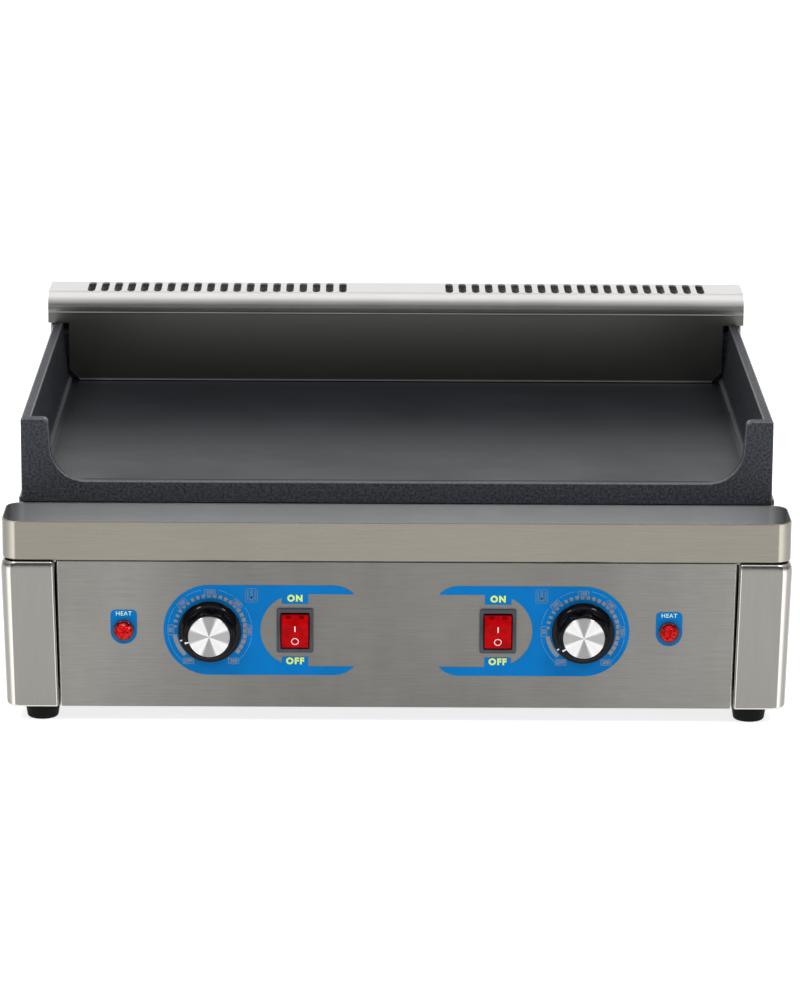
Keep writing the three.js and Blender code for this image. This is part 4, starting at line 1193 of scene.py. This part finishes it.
def rocker(hand, x):
    """The red key: a low ridge between two faces, its I and O marks and two shaded windows."""
    body = f"rocker_{hand}_key"
    half, flat, wide = 12.3, 8.6, 9.35
    ridge, ridge_deep, end_deep = 7, 5, 1.2
    profile = rounded(
        [
            (-half, 0.4, 0.3), (-half, -3.0, 0.5), (-half + 1.2, -4.9, 0.9),
            (ridge, -ridge_deep, 0.5), (half, -end_deep, 0.4), (half, 0.4, 0.3), (flat, 4, 0.3),
            (-flat, 4, 0.3),
        ],
        4,
    )
    edges = [(-wide, 0.4), (-wide + 0.12, 0.12), (-wide + 0.4, 0)]
    edges += [(-px, inward) for px, inward in edges[::-1]]
    loops = []
    for px, inward in edges:
        loops.append([(px, y + (inward if y < 0 else -inward) * 0.6, z) for z, y in profile])
    tilt = Matrix.Rotation(math.radians(13), 4, "X")
    place = Matrix.Translation((x, FRONT, CONTROL_Z)) @ tilt
    piece(
        f"rocker_{hand}_cap", moved(loft(loops), place), RED, body=body,
        replaces=[f"rocker_{hand}"], sharp=20,
    )
    bar = placed(raised(rounded_box(0.36, -2.2, 2.2, 0.3, 3), 4.9, 5.06), 0, 3.6)
    ring = placed(lathe([(2.15, 4.9), (2.6, 4.9), (2.6, 5.06), (2.15, 5.06), (2.15, 4.9)], 48), 0, -6.2)
    marks = moved(merged([bar, ring]), place @ TO_FRONT)
    piece(f"rocker_{hand}_marks", marks, WHITE, body=body)
    slope = math.atan2(half - ridge, ridge_deep - end_deep)
    lean = Matrix.Translation((0, -1.95, 11.3)) @ Matrix.Rotation(slope - math.pi / 2, 4, "X")
    window = raised(rounded_box(1.7, -1.1, 1.1, 0.3, 3), -0.2, 0.04)
    windows = moved(merged([placed(window, dx) for dx in (-4.6, 4.6)]), place @ lean @ TO_FRONT)
    piece(f"rocker_{hand}_windows", windows, RED_SHADE, body=body)


def lamp(hand, side):
    """Signal lamp: a dark glossy rim about a faceted red dome."""
    x = side * LAMP_X
    rim = [
        (5.7, 0.5), (7.3, 0.5), (7.3, 2.2), *arc(6.3, 2.9, 1.0, -10, 90, 8), (5.9, 4.0),
        (5.7, 3.6), (5.7, 0.5),
    ]
    piece(
        f"lamp_{hand}_rim", on_panel(lathe(rim, 56), x), LENS_DARK,
        replaces=[f"lamp_lens_{hand}"],
    )
    piece(f"lamp_{hand}_facets", on_panel(faceted_dome(), x), LENS_RED, sharp=1)


def faceted_dome():
    """A low dome of triangles about +Z, every second corner raised, closed at its foot."""
    rings, sides = 4, 12
    reach, top = 5.75, 5.6
    vertices = [(0, 0, top)]
    for ring in range(1, rings + 1):
        radius = reach * ring / rings
        for i in range(sides):
            angle = 2 * math.pi * (i + 0.5 * (ring % 2)) / sides
            lift = 0.45 if (i + ring) % 2 else -0.15
            if ring == rings:
                lift = -0.6
            height = top - 0.5 * (radius / reach) ** 2 + lift
            vertices.append((radius * math.cos(angle), radius * math.sin(angle), height))
    foot = len(vertices)
    vertices += at_height(circle(reach, sides), 1.0)
    faces = [tuple(foot + i for i in range(sides))]
    for i in range(sides):
        j = (i + 1) % sides
        faces.append((0, 1 + i, 1 + j))
        for ring in range(1, rings):
            low = 1 + (ring - 1) * sides
            a, b, c, d = low + i, low + sides + i, low + sides + j, low + j
            faces += [(a, b, c), (a, c, d)] if ring % 2 else [(a, b, d), (d, b, c)]
        faces.append((foot - sides + i, foot + i, foot + j, foot - sides + j))
    return vertices, faces


# ---------- pieces that keep their CAD shape ----------


def dress_frame():
    """Gives every CAD node that stays visible its procedural material."""
    for material, names in (
        (PAN_STEEL, ["base_pan"]),
        (SIDE_STEEL, ["rear_panel", "tray_ledge", "rear_duct"]),
        (INNER_STEEL, ["heat_shield"]),
        (FIBRE, ["insulation_mat"]),
        (SLEEVE, ["wiring_loom"]),
        (CERAMIC, ["terminal_block"]),
        (NYLON, ["cable_gland", "gland_nut"]),
    ):
        dress(names, material)
    for hand, _ in SIDES:
        for material, stems in (
            (SIDE_STEEL, ["side_panel"]),
            (SHEATH, ["heating_element"]),
            (COPPER, ["thermostat_sensor"]),
            (CERAMIC, ["thermostat_body"]),
            (NYLON, ["lamp_body"]),
            (PLATED, ["element_clamp", "clamp_nut", "hood_screw", "thermostat_nut"]),
            (PLATED, ["thermostat_shaft", "foot_screw_front", "foot_screw_rear"]),
        ):
            dress([f"{stem}_{hand}" for stem in stems], material)


def dress(names, material):
    """Gives CAD nodes one material over all of their shape."""
    for name in names:
        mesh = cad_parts[name].data
        mesh.materials.clear()
        mesh.materials.append(material)


# ---------- assembly ----------

make_camera()
make_studio()
make_floor()
dress_frame()
front_panel()
for end, facing in (("front", 1), ("rear", -1)):
    for hand, side in SIDES:
        corner_post(f"corner_post_{end}_{hand}", side, facing)
        rubber_foot(f"foot_{end}_{hand}")
cooking_plate()
rear_hood()
grease_tray()
for hand, side, pointer in (("left", -1, 17), ("right", 1, 33.5)):
    control_label(hand, side)
    lamp_label(hand, side)
    knob(hand, side, pointer)
    switch(hand, side)
    lamp(hand, side)
